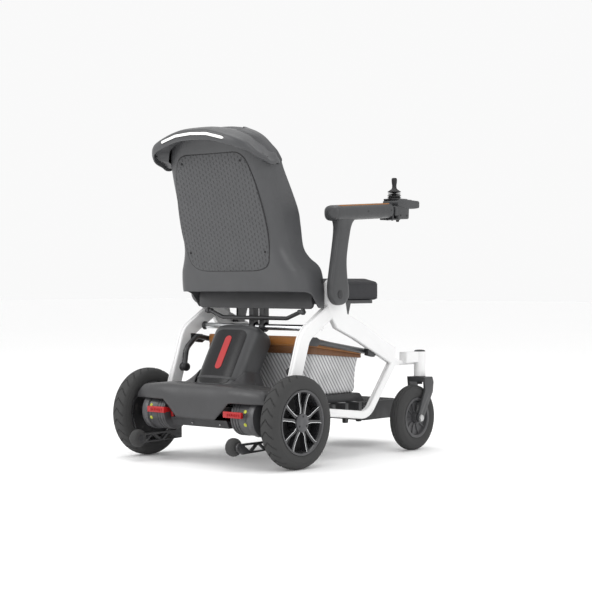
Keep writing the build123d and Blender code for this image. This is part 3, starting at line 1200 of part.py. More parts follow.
BALL_RADIUS = 6.0
SHAFT_RADIUS = 4.0
STICK_PROFILE = (            # radius, height: skirt and knob above the shaft
    (SHAFT_RADIUS, 787), (17, 787), (17, 790), (6, 801), (5, 812), (8, 820), (8, 826), (5, 829), (0, 829),
)
with BuildPart() as joystick_stick:
    with Locations((*stick_place, STICK_Z)):
        Sphere(BALL_RADIUS)
    with BuildSketch(Plane((*stick_place, 0), x_dir=(1, 0, 0), z_dir=(0, -1, 0))):
        with BuildLine():
            Polyline((0, STICK_Z), (SHAFT_RADIUS, STICK_Z), *STICK_PROFILE, close=True)
        make_face()
    revolve(axis=Axis((*stick_place, 0), (0, 0, 1)))
joystick_stick.part.label = "joystick_stick"
export_step(joystick_stick.part, "parts/joystick_stick.step")

# ---------------------------------------------------------------- footplate
FOOT_BACK = FOOT_HINGE_AHEAD + 15.0
FOOT_BOTTOM = 85.0
FOOT_TOP = 143.0
FOOT_CORNER = 14.0
FOOT_WALL = 5.0
FOOT_LUG = 14.0
FOOT_LUG_RADIUS = 8.0
with BuildPart() as footplate:
    with BuildSketch(Plane.XY.offset(FOOT_BOTTOM)):
        with Locations((0, ahead((FOOT_BACK + FRONT_REACH) / 2))):
            RectangleRounded(2 * FOOTPLATE_HALF, FRONT_REACH - FOOT_BACK, FOOT_CORNER)
    extrude(amount=FOOT_TOP - FOOT_BOTTOM)
    chamfer(footplate.faces().sort_by(Axis.Z)[0].edges(), 4)
    with BuildSketch(Plane.XY.offset(FOOT_BOTTOM)):
        with Locations((0, ahead((FOOT_BACK + FRONT_REACH) / 2))):
            RectangleRounded(2 * (FOOTPLATE_HALF - FOOT_WALL - 4),
                             FRONT_REACH - FOOT_BACK - 2 * FOOT_WALL - 8, 8)
    extrude(amount=FOOT_TOP - FOOT_BOTTOM - FOOT_WALL, mode=Mode.SUBTRACT)
    for side, sign in SIDES:
        with BuildSketch(side_plane(sign * (HINGE_ARM_INNER - GAP))):
            with Locations((ahead(FOOT_HINGE_AHEAD), FOOT_HINGE_Z)):
                Circle(FOOT_LUG_RADIUS)
            with Locations((ahead((FOOT_HINGE_AHEAD + FOOT_BACK + FOOT_WALL) / 2), FOOT_HINGE_Z)):
                Rectangle(FOOT_BACK + FOOT_WALL - FOOT_HINGE_AHEAD, 2 * FOOT_LUG_RADIUS)
            with Locations((ahead(FOOT_HINGE_AHEAD), FOOT_HINGE_Z)):
                Circle(PIN_RADIUS + RUNNING, mode=Mode.SUBTRACT)
        extrude(amount=-sign * FOOT_LUG)
footplate.part.label = "footplate"
export_step(footplate.part, "parts/footplate.step")

with BuildPart() as footplate_pin:
    with BuildSketch(side_plane(-HINGE_ARM_INNER - HINGE_ARM_WIDTH)):
        with Locations((ahead(FOOT_HINGE_AHEAD), FOOT_HINGE_Z)):
            Circle(PIN_RADIUS)
    extrude(amount=2 * (HINGE_ARM_INNER + HINGE_ARM_WIDTH))
footplate_pin.part.label = "footplate_pin"
export_step(footplate_pin.part, "parts/footplate_pin.step")
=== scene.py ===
"""Looks of a rear-drive power wheelchair, built round its CAD frame, in metres.

The chair faces -Y, its left side is +X and +Z is up.  Places are written in millimetres as
X, distance ahead of the rear axle and height, and spots() turns them into metres.
"""
from __future__ import annotations

import json
import logging
import math
from dataclasses import dataclass, field
from enum import Enum
from typing import Any, Sequence

import bmesh
import bpy
import numpy as np
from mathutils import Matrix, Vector

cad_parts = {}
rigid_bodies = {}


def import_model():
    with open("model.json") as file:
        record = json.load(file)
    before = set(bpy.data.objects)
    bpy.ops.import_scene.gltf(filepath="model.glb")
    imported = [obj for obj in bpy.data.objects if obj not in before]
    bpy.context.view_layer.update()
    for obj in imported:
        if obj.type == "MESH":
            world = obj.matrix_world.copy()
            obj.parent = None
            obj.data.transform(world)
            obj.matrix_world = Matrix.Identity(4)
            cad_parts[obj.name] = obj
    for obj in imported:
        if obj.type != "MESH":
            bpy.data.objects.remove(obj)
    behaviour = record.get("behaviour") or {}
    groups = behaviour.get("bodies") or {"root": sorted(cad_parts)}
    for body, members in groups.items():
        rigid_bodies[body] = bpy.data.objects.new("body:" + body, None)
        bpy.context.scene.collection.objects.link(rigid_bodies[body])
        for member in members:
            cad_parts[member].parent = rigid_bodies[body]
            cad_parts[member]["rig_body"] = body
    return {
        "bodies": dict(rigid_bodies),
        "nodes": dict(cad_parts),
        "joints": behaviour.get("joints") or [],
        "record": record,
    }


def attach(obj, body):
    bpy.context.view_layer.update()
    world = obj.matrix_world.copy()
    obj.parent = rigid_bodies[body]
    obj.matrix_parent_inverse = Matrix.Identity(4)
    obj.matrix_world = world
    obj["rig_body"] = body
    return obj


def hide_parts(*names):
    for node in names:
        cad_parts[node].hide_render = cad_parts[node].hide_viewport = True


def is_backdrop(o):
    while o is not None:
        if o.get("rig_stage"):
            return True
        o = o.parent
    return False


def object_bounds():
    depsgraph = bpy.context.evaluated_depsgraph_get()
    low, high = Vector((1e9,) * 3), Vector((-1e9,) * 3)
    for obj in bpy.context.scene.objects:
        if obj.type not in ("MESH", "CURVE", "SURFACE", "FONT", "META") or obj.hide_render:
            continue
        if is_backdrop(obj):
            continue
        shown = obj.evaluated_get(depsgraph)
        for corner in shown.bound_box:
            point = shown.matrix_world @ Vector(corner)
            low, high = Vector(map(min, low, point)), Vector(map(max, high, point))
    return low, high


LOG = logging.getLogger("wheelchair")
AXLE_AT = 283.5
Colour = tuple[float, float, float]
Shape = tuple[np.ndarray, list]


class Side(Enum):
    """The chair's two sides, with the sign of their X."""

    RIGHT = -1
    LEFT = 1

    @property
    def word(self) -> str:
        """Name that the frame's nodes start with."""
        return self.name.lower()


class Grain(Enum):
    """How a moulded surface is textured."""

    SPARK = "fine spark-eroded grain"
    POLISHED = "polished"


# ---------------------------------------------------------------- shader maths
class Socket:
    """A value in a material's node tree; expressions on it add Math nodes."""

    def __init__(self, book: "NodeBook", out: Any) -> None:
        """Keep the node book and the output socket."""
        self.book = book
        self.out = out

    def math(self, operation: str, *values: Any) -> "Socket":
        """Return the result of one Math node.

        Args:
            operation: the node's operation.
            values: its inputs, as numbers or sockets.

        Returns:
            The node's output.
        """
        return self.book.node("ShaderNodeMath", {"operation": operation}, dict(enumerate(values)))

    def __add__(self, other: Any) -> "Socket":
        """Sum."""
        return self.math("ADD", self, other)

    __radd__ = __add__

    def __sub__(self, other: Any) -> "Socket":
        """Difference."""
        return self.math("SUBTRACT", self, other)

    def __rsub__(self, other: Any) -> "Socket":
        """Difference from a number."""
        return self.math("SUBTRACT", other, self)

    def __mul__(self, other: Any) -> "Socket":
        """Product."""
        return self.math("MULTIPLY", self, other)

    __rmul__ = __mul__

    def __truediv__(self, other: Any) -> "Socket":
        """Quotient."""
        return self.math("DIVIDE", self, other)

    def __abs__(self) -> "Socket":
        """Size without sign."""
        return self.math("ABSOLUTE", self)

    def __pow__(self, other: Any) -> "Socket":
        """Power."""
        return self.math("POWER", self, other)

    def __gt__(self, other: Any) -> "Socket":
        """One where larger, else zero."""
        return self.math("GREATER_THAN", self, other)

    def __lt__(self, other: Any) -> "Socket":
        """One where smaller, else zero."""
        return self.math("LESS_THAN", self, other)

    def larger(self, other: Any) -> "Socket":
        """Larger of two values."""
        return self.math("MAXIMUM", self, other)

    def smaller(self, other: Any) -> "Socket":
        """Smaller of two values."""
        return self.math("MINIMUM", self, other)

    def sine(self) -> "Socket":
        """Sine, in radians."""
        return self.math("SINE", self)

    def wrapped(self, period: float) -> "Socket":
        """Sawtooth from 0 to the period."""
        return self.math("FLOORED_MODULO", self, period)

    def floor(self) -> "Socket":
        """Whole part."""
        return self.math("FLOOR", self)

    def step(self, low: float, high: float, start: float = 0.0, end: float = 1.0) -> "Socket":
        """Smooth step between two levels.

        Args:
            low: value where the step starts.
            high: value where it ends.
            start: result below low.
            end: result above high.

        Returns:
            The stepped value.
        """
        return self.book.node(
            "ShaderNodeMapRange", {"interpolation_type": "SMOOTHSTEP"},
            {"Value": self, "From Min": low, "From Max": high, "To Min": start, "To Max": end})


class NodeBook:
    """One material's node tree."""

    def __init__(self, name: str) -> None:
        """Start an empty material of that name."""
        self.material = bpy.data.materials.new(name)
        self.material.use_nodes = True
        self.tree = self.material.node_tree
        self.tree.nodes.clear()
        self._where: Socket | None = None

    def node(self, kind: str, settings: dict | None = None, sockets: dict | None = None,
             out: int | str = 0) -> Socket:
        """Add a node.

        Args:
            kind: the node's type.
            settings: its properties, set first.
            sockets: values or sockets for its inputs, by name or number.
            out: which output is wanted.

        Returns:
            That output.
        """
        made = self.tree.nodes.new(kind)
        for key, value in (settings or {}).items():
            setattr(made, key, value)
        for key, value in (sockets or {}).items():
            if isinstance(value, Socket):
                self.tree.links.new(value.out, made.inputs[key])
            else:
                made.inputs[key].default_value = value
        return Socket(self, made.outputs[out])

    def where(self) -> Socket:
        """Object coordinates."""
        if self._where is None:
            self._where = self.node("ShaderNodeTexCoord", out="Object")
        return self._where

    def axes(self) -> tuple[Socket, Socket, Socket]:
        """X, Y and Z of the object coordinates."""
        split = self.node("ShaderNodeSeparateXYZ", sockets={0: self.where()})
        return split, Socket(self, split.out.node.outputs[1]), Socket(self, split.out.node.outputs[2])

    def upward(self) -> Socket:
        """How far the surface faces up, from -1 to 1."""
        normal = self.node("ShaderNodeNewGeometry", out="Normal")
        return self.node("ShaderNodeSeparateXYZ", sockets={0: normal}, out=2)

    def stretched(self, scale: Sequence[float]) -> Socket:
        """Object coordinates scaled along each axis."""
        return self.node("ShaderNodeMapping", sockets={"Vector": self.where(), "Scale": tuple(scale)})

    def noise(self, scale: float, detail: float = 3.0, stretch: Sequence[float] | None = None) -> Socket:
        """Smooth noise around a half.

        Args:
            scale: spots per metre.
            detail: octaves.
            stretch: scale along each axis, or None.

        Returns:
            The noise value.
        """
        vector = self.stretched(stretch) if stretch else self.where()
        return self.node("ShaderNodeTexNoise", sockets={"Vector": vector, "Scale": scale, "Detail": detail})

    def cells(self, scale: float, feature: str = "F1") -> Socket:
        """Distance in a field of random cells, that many per metre."""
        return self.node("ShaderNodeTexVoronoi", {"feature": feature},
                         {"Vector": self.where(), "Scale": scale})

    def blend(self, mask: Any, first: Any, second: Any) -> Socket:
        """Mix two colours.

        Args:
            mask: share of the second.
            first: a colour or a socket.
            second: a colour or a socket.

        Returns:
            The mixed colour.
        """
        paint = [c if isinstance(c, Socket) else (*c, 1.0) for c in (first, second)]
        return self.node("ShaderNodeMix", {"data_type": "RGBA"}, {0: mask, 6: paint[0], 7: paint[1]}, 2)

    def shade(self, sockets: dict, relief: Socket | None, depth: float) -> bpy.types.Material:
        """Close the material with its shader.

        Args:
            sockets: the shader's inputs.
            relief: height of the surface detail, from 0 to 1, or None.
            depth: what a height of 1 stands for, in metres.

        Returns:
            The finished material.
        """
        if relief is not None:
            sockets["Normal"] = self.node("ShaderNodeBump", sockets={
                "Height": relief, "Strength": 1.0, "Distance": depth})
        shader = self.node("ShaderNodeBsdfPrincipled", sockets=sockets)
        self.node_output(shader)
        return self.material

    def node_output(self, shader: Socket) -> None:
        """Link the shader to the material's output."""
        end = self.tree.nodes.new("ShaderNodeOutputMaterial")
        self.tree.links.new(shader.out, end.inputs["Surface"])


# ---------------------------------------------------------------- finishes
def deeper(colour: Colour, share: float) -> Colour:
    """The colour scaled towards black or white by a factor."""
    return tuple(min(1.0, c * share) for c in colour)


@dataclass(frozen=True)
class Finish:
    """What a surface is made of and how it is marked.

    Attributes:
        name: the material's name.
        colour: its colour.
        roughness: its mean roughness.
        metallic: 1 for bare metal.
        specular: strength of the plain reflection.
        coat: weight of a clear coat.
        mottle: share that the colour drifts by over a few centimetres.
        dust: share of pale dust on faces that look up.
        spot: how far rub marks change the roughness.
    """

    name: str
    colour: Colour
    roughness: float = 0.5
    metallic: float = 0.0
    specular: float = 0.5
    coat: float = 0.0
    mottle: float = 0.12
    dust: float = 0.06
    spot: float = 0.12

    def relief(self, book: NodeBook) -> tuple[Socket | None, float]:
        """Height of the fine detail and what its full height is, in metres."""
        return book.noise(260, 3), 0.00004

    def paint(self, book: NodeBook) -> Socket:
        """Colour over the surface, before dust."""
        drift = book.noise(14, 4).step(0.3, 0.7)
        return book.blend(drift, deeper(self.colour, 1 - self.mottle), deeper(self.colour, 1 + self.mottle))

    def gloss(self, book: NodeBook) -> Socket:
        """Roughness over the surface: the mean, changed by rub marks."""
        rubs = book.noise(55, 5, (1, 1, 0.35)).step(0.35, 0.75)
        return self.roughness - self.spot / 2 + rubs * self.spot

    def material(self) -> bpy.types.Material:
        """The finish as a material, made once."""
        found = bpy.data.materials.get(self.name)
        if found is not None:
            return found
        book = NodeBook(self.name)
        settled = book.upward().step(0.55, 1.0) * book.noise(90, 4).step(0.4, 0.7) * self.dust
        pale = (0.42, 0.40, 0.37)
        height, depth = self.relief(book)
        sockets = {
            "Base Color": book.blend(settled, self.paint(book), pale),
            "Roughness": self.gloss(book) + settled * 0.6,
            "Metallic": self.metallic,
            "Specular IOR Level": self.specular,
            "Coat Weight": self.coat,
            "Coat Roughness": 0.08,
        }
        return book.shade(sockets, height, depth)


@dataclass(frozen=True)
class Moulding(Finish):
    """Moulded plastic with a grained surface.

    Attributes:
        grain: which texture the mould has.
    """

    grain: Grain = Grain.SPARK

    def relief(self, book: NodeBook) -> tuple[Socket | None, float]:
        """Spark grain is fine noise, polished keeps only a slow wave."""
        if self.grain is Grain.POLISHED:
            return book.noise(35, 2) + book.noise(700, 2) * 0.05, 0.00010
        return book.noise(1500, 3) + book.cells(900) * 0.5, 0.00011


@dataclass(frozen=True)
class Enamel(Finish):
    """Sprayed enamel over metal: a slow orange peel, specks and small chips."""

    def relief(self, book: NodeBook) -> tuple[Socket | None, float]:
        """Orange peel: two sizes of soft noise."""
        return book.noise(230, 2) + book.noise(620, 2) * 0.35, 0.00006

    def paint(self, book: NodeBook) -> Socket:
        """The colour with a faint painted shade on faces that look down, and dark specks."""
        # Painted shade: faces that look down are darkened a little towards brown-grey, in patches.
        under = (0.0 - book.upward()).step(0.1, 1.0) * book.noise(40, 4).step(0.35, 0.8)
        speck = book.cells(160).step(0.035, 0.05, 1.0, 0.0) * book.noise(9, 2).step(0.55, 0.7)
        toned = book.blend(under * 0.05, Finish.paint(self, book), (0.30, 0.28, 0.25))
        return book.blend(speck * 0.15, toned, (0.22, 0.21, 0.20))


@dataclass(frozen=True)
class Turned(Finish):
    """Bare metal with fine lines from machining or brushing along X."""

    def relief(self, book: NodeBook) -> tuple[Socket | None, float]:
        """Lines: noise stretched along X."""
        return book.noise(900, 3, (0.04, 1, 1)), 0.00005

    def gloss(self, book: NodeBook) -> Socket:
        """Roughness that follows the lines and a few smears."""
        return (self.roughness - 0.06 + book.noise(500, 2, (0.04, 1, 1)) * 0.12
                + book.noise(30, 3) * self.spot)


@dataclass(frozen=True)
class Rubber(Finish):
    """Black rubber with mould pips, bloom and road dust."""

    def relief(self, book: NodeBook) -> tuple[Socket | None, float]:
        """Fine sandy noise with shallow scuffs."""
        return book.noise(1100, 4) + book.noise(160, 5).step(0.5, 0.8) * 0.6, 0.00015

    def paint(self, book: NodeBook) -> Socket:
        """The colour with patches of dry dust."""
        scuffed = book.noise(70, 6).step(0.5, 0.78) * book.noise(11, 2).step(0.3, 0.75)
        return book.blend(scuffed * 0.28, Finish.paint(self, book), (0.20, 0.19, 0.175))


@dataclass(frozen=True)
class Hide(Finish):
    """Leather: raised pebbles between fine creases, with painted shade in the creases."""

    def relief(self, book: NodeBook) -> tuple[Socket | None, float]:
        """Pebbles from cell edges, with pores."""
        pebble = book.cells(520, "DISTANCE_TO_EDGE").step(0.0, 0.28)
        pores = book.cells(1500).step(0.08, 0.2)
        return pebble + pores * 0.25 + book.noise(35, 3) * 0.6, 0.00022

    def paint(self, book: NodeBook) -> Socket:
        """The colour, with painted shade deepening it in the creases."""
        # Painted shade: the creases are darkened towards a deeper brown.
        crease = book.cells(520, "DISTANCE_TO_EDGE").step(0.0, 0.1, 1.0, 0.0)
        return book.blend(crease * 0.45, Finish.paint(self, book), deeper(self.colour, 0.35))


@dataclass(frozen=True)
class Weave(Finish):
    """Woven cloth: threads over and under in two directions.

    Attributes:
        thread: width of a thread, in metres.
    """

    thread: float = 0.0011

    def threads(self, book: NodeBook) -> Socket:
        """Height of the threads: rows swap which direction lies on top, as in a plain weave."""
        x, y, z = book.axes()
        across = x + y * 0.31
        along = z + y * 0.83
        over = (across * (math.pi / self.thread)).sine() * (along * (math.pi / self.thread)).sine()
        ribs = (abs((across * (math.pi / self.thread)).sine())
                + abs((along * (math.pi / self.thread)).sine())) * 0.5
        return over.step(-0.4, 0.4) * 0.6 + ribs * 0.4

    def relief(self, book: NodeBook) -> tuple[Socket | None, float]:
        """The threads, and a slow unevenness of the cloth."""
        return self.threads(book) + book.noise(60, 3) * 0.8, 0.00026

    def paint(self, book: NodeBook) -> Socket:
        """The colour with painted shade between the threads, painted light on their tops, and a few pale
        fibres.
        """
        fibre = book.noise(900, 3, (1, 0.2, 1)).step(0.62, 0.75)
        # Painted shade and highlight: low places between the threads darker, thread tops lighter.
        base = book.blend(self.threads(book) * 0.6, deeper(self.colour, 0.55), deeper(self.colour, 1.25))
        return book.blend(fibre * 0.25, base, deeper(self.colour, 2.2))


@dataclass(frozen=True)
class SlotPanel(Finish):
    """A moulded panel with a field of small upright slots in a staggered pattern.

    Attributes:
        pitch: distance between columns, in metres.
        row: distance between rows.
        width: half width of a slot.
        height: half height of a slot.
    """

    pitch: float = 0.0120
    row: float = 0.0150
    width: float = 0.0011
    height: float = 0.0030

    def slots(self, book: NodeBook) -> Socket:
        """One inside a slot: every second column is set half a row higher."""
        x, _, z = book.axes()
        column = ((x / self.pitch) + 0.5).floor()
        shift = column.wrapped(2.0) * (self.row / 2)
        dx = abs(x - column * self.pitch)
        dz = abs((z + shift).wrapped(self.row) - self.row / 2)
        side = dx.step(self.width, self.width + 0.0009, 1.0, 0.0)
        return side * dz.step(self.height, self.height + 0.0016, 1.0, 0.0)

    def relief(self, book: NodeBook) -> tuple[Socket | None, float]:
        """Slots sunk in a finely grained face."""
        return 1.0 - self.slots(book) + book.noise(1400, 2) * 0.12, 0.0011

    def paint(self, book: NodeBook) -> Socket:
        """The colour, with painted shade in the slots."""
        # Painted shade: the sunk slots are darkened.
        return book.blend(self.slots(book) * 0.7, Finish.paint(self, book), deeper(self.colour, 0.35))


@dataclass(frozen=True)
class RibbedMesh(Finish):
    """Ribbed mesh cloth: upright cords with a fine net between them.

    Attributes:
        rib: distance between cords, in metres.
        slant: how far a cord runs forward for its height.
    """

    rib: float = 0.0135
    slant: float = 0.72

    def cords(self, book: NodeBook) -> Socket:
        """Height of the cords, one at the middle of each."""
        x, y, z = book.axes()
        return ((x + y - z * self.slant) * (2 * math.pi / self.rib)).sine() * 0.5 + 0.5

    def relief(self, book: NodeBook) -> tuple[Socket | None, float]:
        """Cords with the net's small knots."""
        _, _, z = book.axes()
        knots = (z * (2 * math.pi / 0.0024)).sine() * 0.5 + 0.5
        return self.cords(book) + knots * 0.25, 0.0009

    def paint(self, book: NodeBook) -> Socket:
        """Pale cords, with painted shade on the sunk net between them."""
        # Painted shade: the low net between the raised cords is darkened.
        net = self.cords(book).step(0.1, 0.6, 1.0, 0.0)
        return book.blend(net * 0.75, Finish.paint(self, book), deeper(self.colour, 0.34))


WHITE_PAINT = Enamel("white_enamel", (0.78, 0.78, 0.78), 0.34, coat=0.2, dust=0.02, mottle=0.01, spot=0.02)
BLACK_PAINT = Enamel("black_enamel", (0.028, 0.028, 0.03), 0.38, coat=0.2, dust=0.05)
GREY_PAINT = Enamel("grey_enamel", (0.06, 0.06, 0.064), 0.42, coat=0.1)
SILVER = Turned("brushed_silver", (0.68, 0.69, 0.70), 0.26, metallic=1.0, dust=0.02, mottle=0.05)
STEEL = Turned("zinc_steel", (0.50, 0.50, 0.50), 0.34, metallic=1.0, dust=0.05, mottle=0.1)
MACHINED = Turned("machined_edge", (0.86, 0.87, 0.88), 0.18, metallic=1.0, dust=0.0, mottle=0.03)
RIM_BLACK = Enamel("rim_black", (0.018, 0.018, 0.02), 0.28, coat=0.4, dust=0.05)
SHELL = Moulding("shell_charcoal", (0.056, 0.057, 0.060), 0.40, dust=0.02, mottle=0.04, spot=0.07,
                 grain=Grain.POLISHED)
PANEL = SlotPanel("panel_slots", (0.058, 0.059, 0.062), 0.46, dust=0.02, mottle=0.04)
# Near-black for seams and screw heads, also used as painted shade in the hood pockets and behind the handle
# strip.
SEAM_AND_SHADE = Moulding("seam_black", (0.012, 0.012, 0.013), 0.6, dust=0.0)
COVER = Moulding("cover_charcoal", (0.038, 0.038, 0.040), 0.42, dust=0.05, mottle=0.06)
DARK = Moulding("dark_plastic", (0.022, 0.022, 0.024), 0.48, dust=0.05)
SATIN = Moulding("post_charcoal", (0.041, 0.042, 0.044), 0.44, dust=0.03, mottle=0.05)
GLOSS = Moulding("gloss_black", (0.006, 0.006, 0.007), 0.24, specular=0.3, dust=0.01, spot=0.04,
                 grain=Grain.POLISHED)
RED = Moulding("signal_red", (0.40, 0.010, 0.012), 0.42, dust=0.02, mottle=0.05, grain=Grain.POLISHED)
YELLOW = Moulding("yellow_mark", (0.46, 0.48, 0.03), 0.4, dust=0.02)
LAMP = Moulding("pale_strip", (0.92, 0.92, 0.90), 0.18, coat=0.5, dust=0.0, mottle=0.01,
                grain=Grain.POLISHED)
TYRE = Rubber("tyre_rubber", (0.024, 0.024, 0.025), 0.66, specular=0.35, dust=0.10)
SOFT_BLACK = Rubber("soft_black", (0.020, 0.020, 0.021), 0.6, specular=0.3)
HUB_GREY = Moulding("hub_grey", (0.055, 0.055, 0.058), 0.42, dust=0.04)
BROWN = Hide("saddle_brown", (0.34, 0.125, 0.018), 0.5, dust=0.02, mottle=0.06)
# A darker copy of the saddle leather, as painted shade on the basket band's lower strip.
BROWN_SHADED = Hide("saddle_brown_low", (0.145, 0.055, 0.014), 0.55, dust=0.02, mottle=0.06)
CLOTH = Weave("seat_cloth", (0.056, 0.056, 0.060), 0.86, specular=0.2, dust=0.04)
MESH = RibbedMesh("basket_ribs", (0.56, 0.56, 0.57), 0.8, specular=0.2, dust=0.05)
THREAD = Weave("pale_thread", (0.33, 0.27, 0.2), 0.8, specular=0.2, thread=0.0004)


# ---------------------------------------------------------------- shapes
def spots(points: Any) -> np.ndarray:
    """Turn places in mm (X, distance ahead of the axle, height) into metres.

    Args:
        points: an array whose last axis has the three numbers.

    Returns:
        An array of the same shape: X, (axle Y - distance), height, over 1000.
    """
    points = np.asarray(points, float)
    return np.stack((points[..., 0], AXLE_AT - points[..., 1], points[..., 2]), -1) / 1000


def smooth_curve(points: Any, count: int, closed: bool = False) -> np.ndarray:
    """Smooth curve through points by cubic Hermite spans, evenly spaced.

    Args:
        points: the places it passes through.
        count: how many points come back.
        closed: whether the end joins the start.

    Returns:
        (count, n) points: p0(2t^3-3t^2+1) + m0(t^3-2t^2+t) + p1(3t^2-2t^3) + m1(t^3-t^2) on
        each span, with slopes from the neighbours, then resampled by length.
    """
    p = np.asarray(points, float)
    if closed:
        p = np.vstack((p, p[:1]))
        slope = (np.roll(p[:-1], -1, 0) - np.roll(p[:-1], 1, 0)) / 2
        slope = np.vstack((slope, slope[:1]))
    else:
        slope = np.gradient(p, axis=0)
    t = np.linspace(0, 1, 24, endpoint=False)[:, None, None]
    spans = (p[:-1] * (2 * t**3 - 3 * t**2 + 1) + slope[:-1] * (t**3 - 2 * t**2 + t)
             + p[1:] * (3 * t**2 - 2 * t**3) + slope[1:] * (t**3 - t**2))
    fine = np.vstack((spans.transpose(1, 0, 2).reshape(-1, p.shape[1]), p[-1:]))
    return evenly(fine, count, closed)


def evenly(points: np.ndarray, count: int, closed: bool = False) -> np.ndarray:
    """Points at even spacing along a polyline.

    Args:
        points: its corners.
        count: how many come back.
        closed: leave out the end, which is the start again.

    Returns:
        (count, n) points by linear interpolation on the length so far.
    """
    length = np.concatenate(([0.0], np.cumsum(np.linalg.norm(np.diff(points, axis=0), axis=1))))
    wanted = np.linspace(0, length[-1], count, endpoint=not closed)
    return np.stack([np.interp(wanted, length, points[:, k]) for k in range(points.shape[1])], 1)


def rounded(corners: Any, radius: float | Sequence[float], count: int = 6) -> np.ndarray:
    """Closed outline with its corners rounded by quadratic curves.

    Args:
        corners: (n, 2) corners in order.
        radius: distance from each corner at which its curve starts.
        count: points on each curve.

    Returns:
        (n * count, 2) points: a(1-t)^2 + 2c t(1-t) + b t^2 at each corner c, a and b on its sides.
    """
    c = np.asarray(corners, float)
    back, forth = np.roll(c, 1, 0) - c, np.roll(c, -1, 0) - c
    reach = np.broadcast_to(np.asarray(radius, float), (len(c),))[:, None]
    back_length, forth_length = (np.linalg.norm(v, axis=1, keepdims=True) for v in (back, forth))
    a = c + back / back_length * np.minimum(reach, back_length * 0.49)
    b = c + forth / forth_length * np.minimum(reach, forth_length * 0.49)
    t = np.linspace(0, 1, count)[:, None, None]
    return (a * (1 - t)**2 + 2 * c * t * (1 - t) + b * t**2).transpose(1, 0, 2).reshape(-1, 2)


def superellipse(half_width: Any, half_height: Any, power: float, count: int) -> np.ndarray:
    """Closed rounded section: (w |cos|^(2/p) sign, h |sin|^(2/p) sign) round the circle.

    Args:
        half_width: half its width.
        half_height: half its height.
        power: 2 for an ellipse, more for squarer corners.
        count: number of points.

    Returns:
        (count, 2) points.
    """
    angle = np.linspace(0, 2 * np.pi, count, endpoint=False)
    c, s = np.cos(angle), np.sin(angle)
    return np.stack((half_width * np.sign(c) * np.abs(c)**(2 / power),
                     half_height * np.sign(s) * np.abs(s)**(2 / power)), 1)


def skin(points: np.ndarray, ring: bool = False, loop: bool = False, caps: bool = False) -> Shape:
    """Faces over a grid of points.

    Args:
        points: (rows, columns, 3) positions.
        ring: the last column joins the first.
        loop: the last row joins the first.
        caps: close the first and last rows with one face each.

    Returns:
        Vertices and faces, one quad per cell.
    """
    rows, columns = points.shape[:2]
    index = np.arange(rows * columns).reshape(rows, columns)
    if ring:
        index = np.hstack((index, index[:, :1]))
    if loop:
        index = np.vstack((index, index[:1]))
    quads = np.stack((index[:-1, :-1], index[:-1, 1:], index[1:, 1:], index[1:, :-1]),
                     -1).reshape(-1, 4).tolist()
    if caps:
        quads += [index[0, :columns].tolist()[::-1], index[-1, :columns].tolist()]
    return points.reshape(-1, 3), quads


def together(shapes: Sequence[Shape]) -> Shape:
    """Several shapes as one, with the faces renumbered."""
    starts = np.cumsum([0] + [len(s[0]) for s in shapes])
    faces = [[i + int(start) for i in face] for start, s in zip(starts, shapes) for face in s[1]]
    return np.vstack([s[0] for s in shapes]), faces


def frames_along(path: np.ndarray, up: Sequence[float] = (0, 0, 1)) -> tuple[np.ndarray, np.ndarray]:
    """Two directions across a path at each point.

    Args:
        path: (n, 3) points.
        up: direction the second one leans to.

    Returns:
        Side and rise vectors: side = tangent x up, rise = side x tangent, made unit length.
    """
    tangent = np.gradient(path, axis=0)
    tangent /= np.linalg.norm(tangent, axis=1, keepdims=True)
    side = np.cross(tangent, np.asarray(up, float))
    weak = np.linalg.norm(side, axis=1) < 1e-4
    side[weak] = np.cross(tangent[weak], (0.0, 1.0, 0.0))
    side /= np.linalg.norm(side, axis=1, keepdims=True)
    return side, np.cross(side, tangent)


def carried(section: np.ndarray, path: np.ndarray, up: Sequence[float] = (0, 0, 1),
            scale: np.ndarray | None = None, round_ends: bool = False) -> Shape:
    """A closed section carried along a path, its ends closed.

    Args:
        section: (m, 2) points across the path.
        path: (n, 3) points.
        up: direction of the section's second axis.
        scale: size of the section at each point, or None.
        round_ends: shrink the first and last rows to domed ends.

    Returns:
        Vertices path + side u + rise v, and faces.
    """
    side, rise = frames_along(path, up)
    size = np.ones(len(path)) if scale is None else np.asarray(scale, float)
    if round_ends:
        lead = np.linalg.norm(np.diff(path[:2], axis=0)) + 1e-9
        reach = min(float(np.abs(section).max()), 4 * lead)
        steps = np.concatenate(([0.0], np.cumsum(np.linalg.norm(np.diff(path, axis=0), axis=1))))
        end = np.minimum(np.minimum(steps, steps[-1] - steps) / reach, 1)
        size = size * np.sqrt(np.clip(1 - (1 - end)**2, 0.0025, 1))
    grid = (path[:, None] + side[:, None] * (section[None, :, :1] * size[:, None, None])
            + rise[:, None] * (section[None, :, 1:] * size[:, None, None]))
    return skin(grid, ring=True, caps=True)


def turned(profile: Any, centre: Any, axis: Sequence[float], count: int = 64) -> Shape:
    """Surface of revolution.

    Args:
        profile: (n, 2) radius and distance along the axis, in mm.
        centre: a place in mm (X, ahead, height).
        axis: direction of the axis.
        count: points round it.

    Returns:
        Vertices centre + axis h + r (u cos + v sin), capped unless the profile ends where it starts.
    """
    profile = np.asarray(profile, float) / 1000
    k = np.asarray(axis, float) / np.linalg.norm(axis)
    u = np.cross(k, (0.0, 1.0, 0.0) if abs(k[1]) < 0.9 else (1.0, 0.0, 0.0))
    u /= np.linalg.norm(u)
    v = np.cross(k, u)
    angle = np.linspace(0, 2 * np.pi, count, endpoint=False)
    round_ = u * np.cos(angle)[:, None] + v * np.sin(angle)[:, None]
    grid = spots(centre) + k * profile[:, 1, None,
                                       None] + round_[None] * np.maximum(profile[:, 0, None, None], 1e-6)
    closed = bool(np.allclose(profile[0], profile[-1]))
    return skin(grid[:-1] if closed else grid, ring=True, loop=closed, caps=not closed)


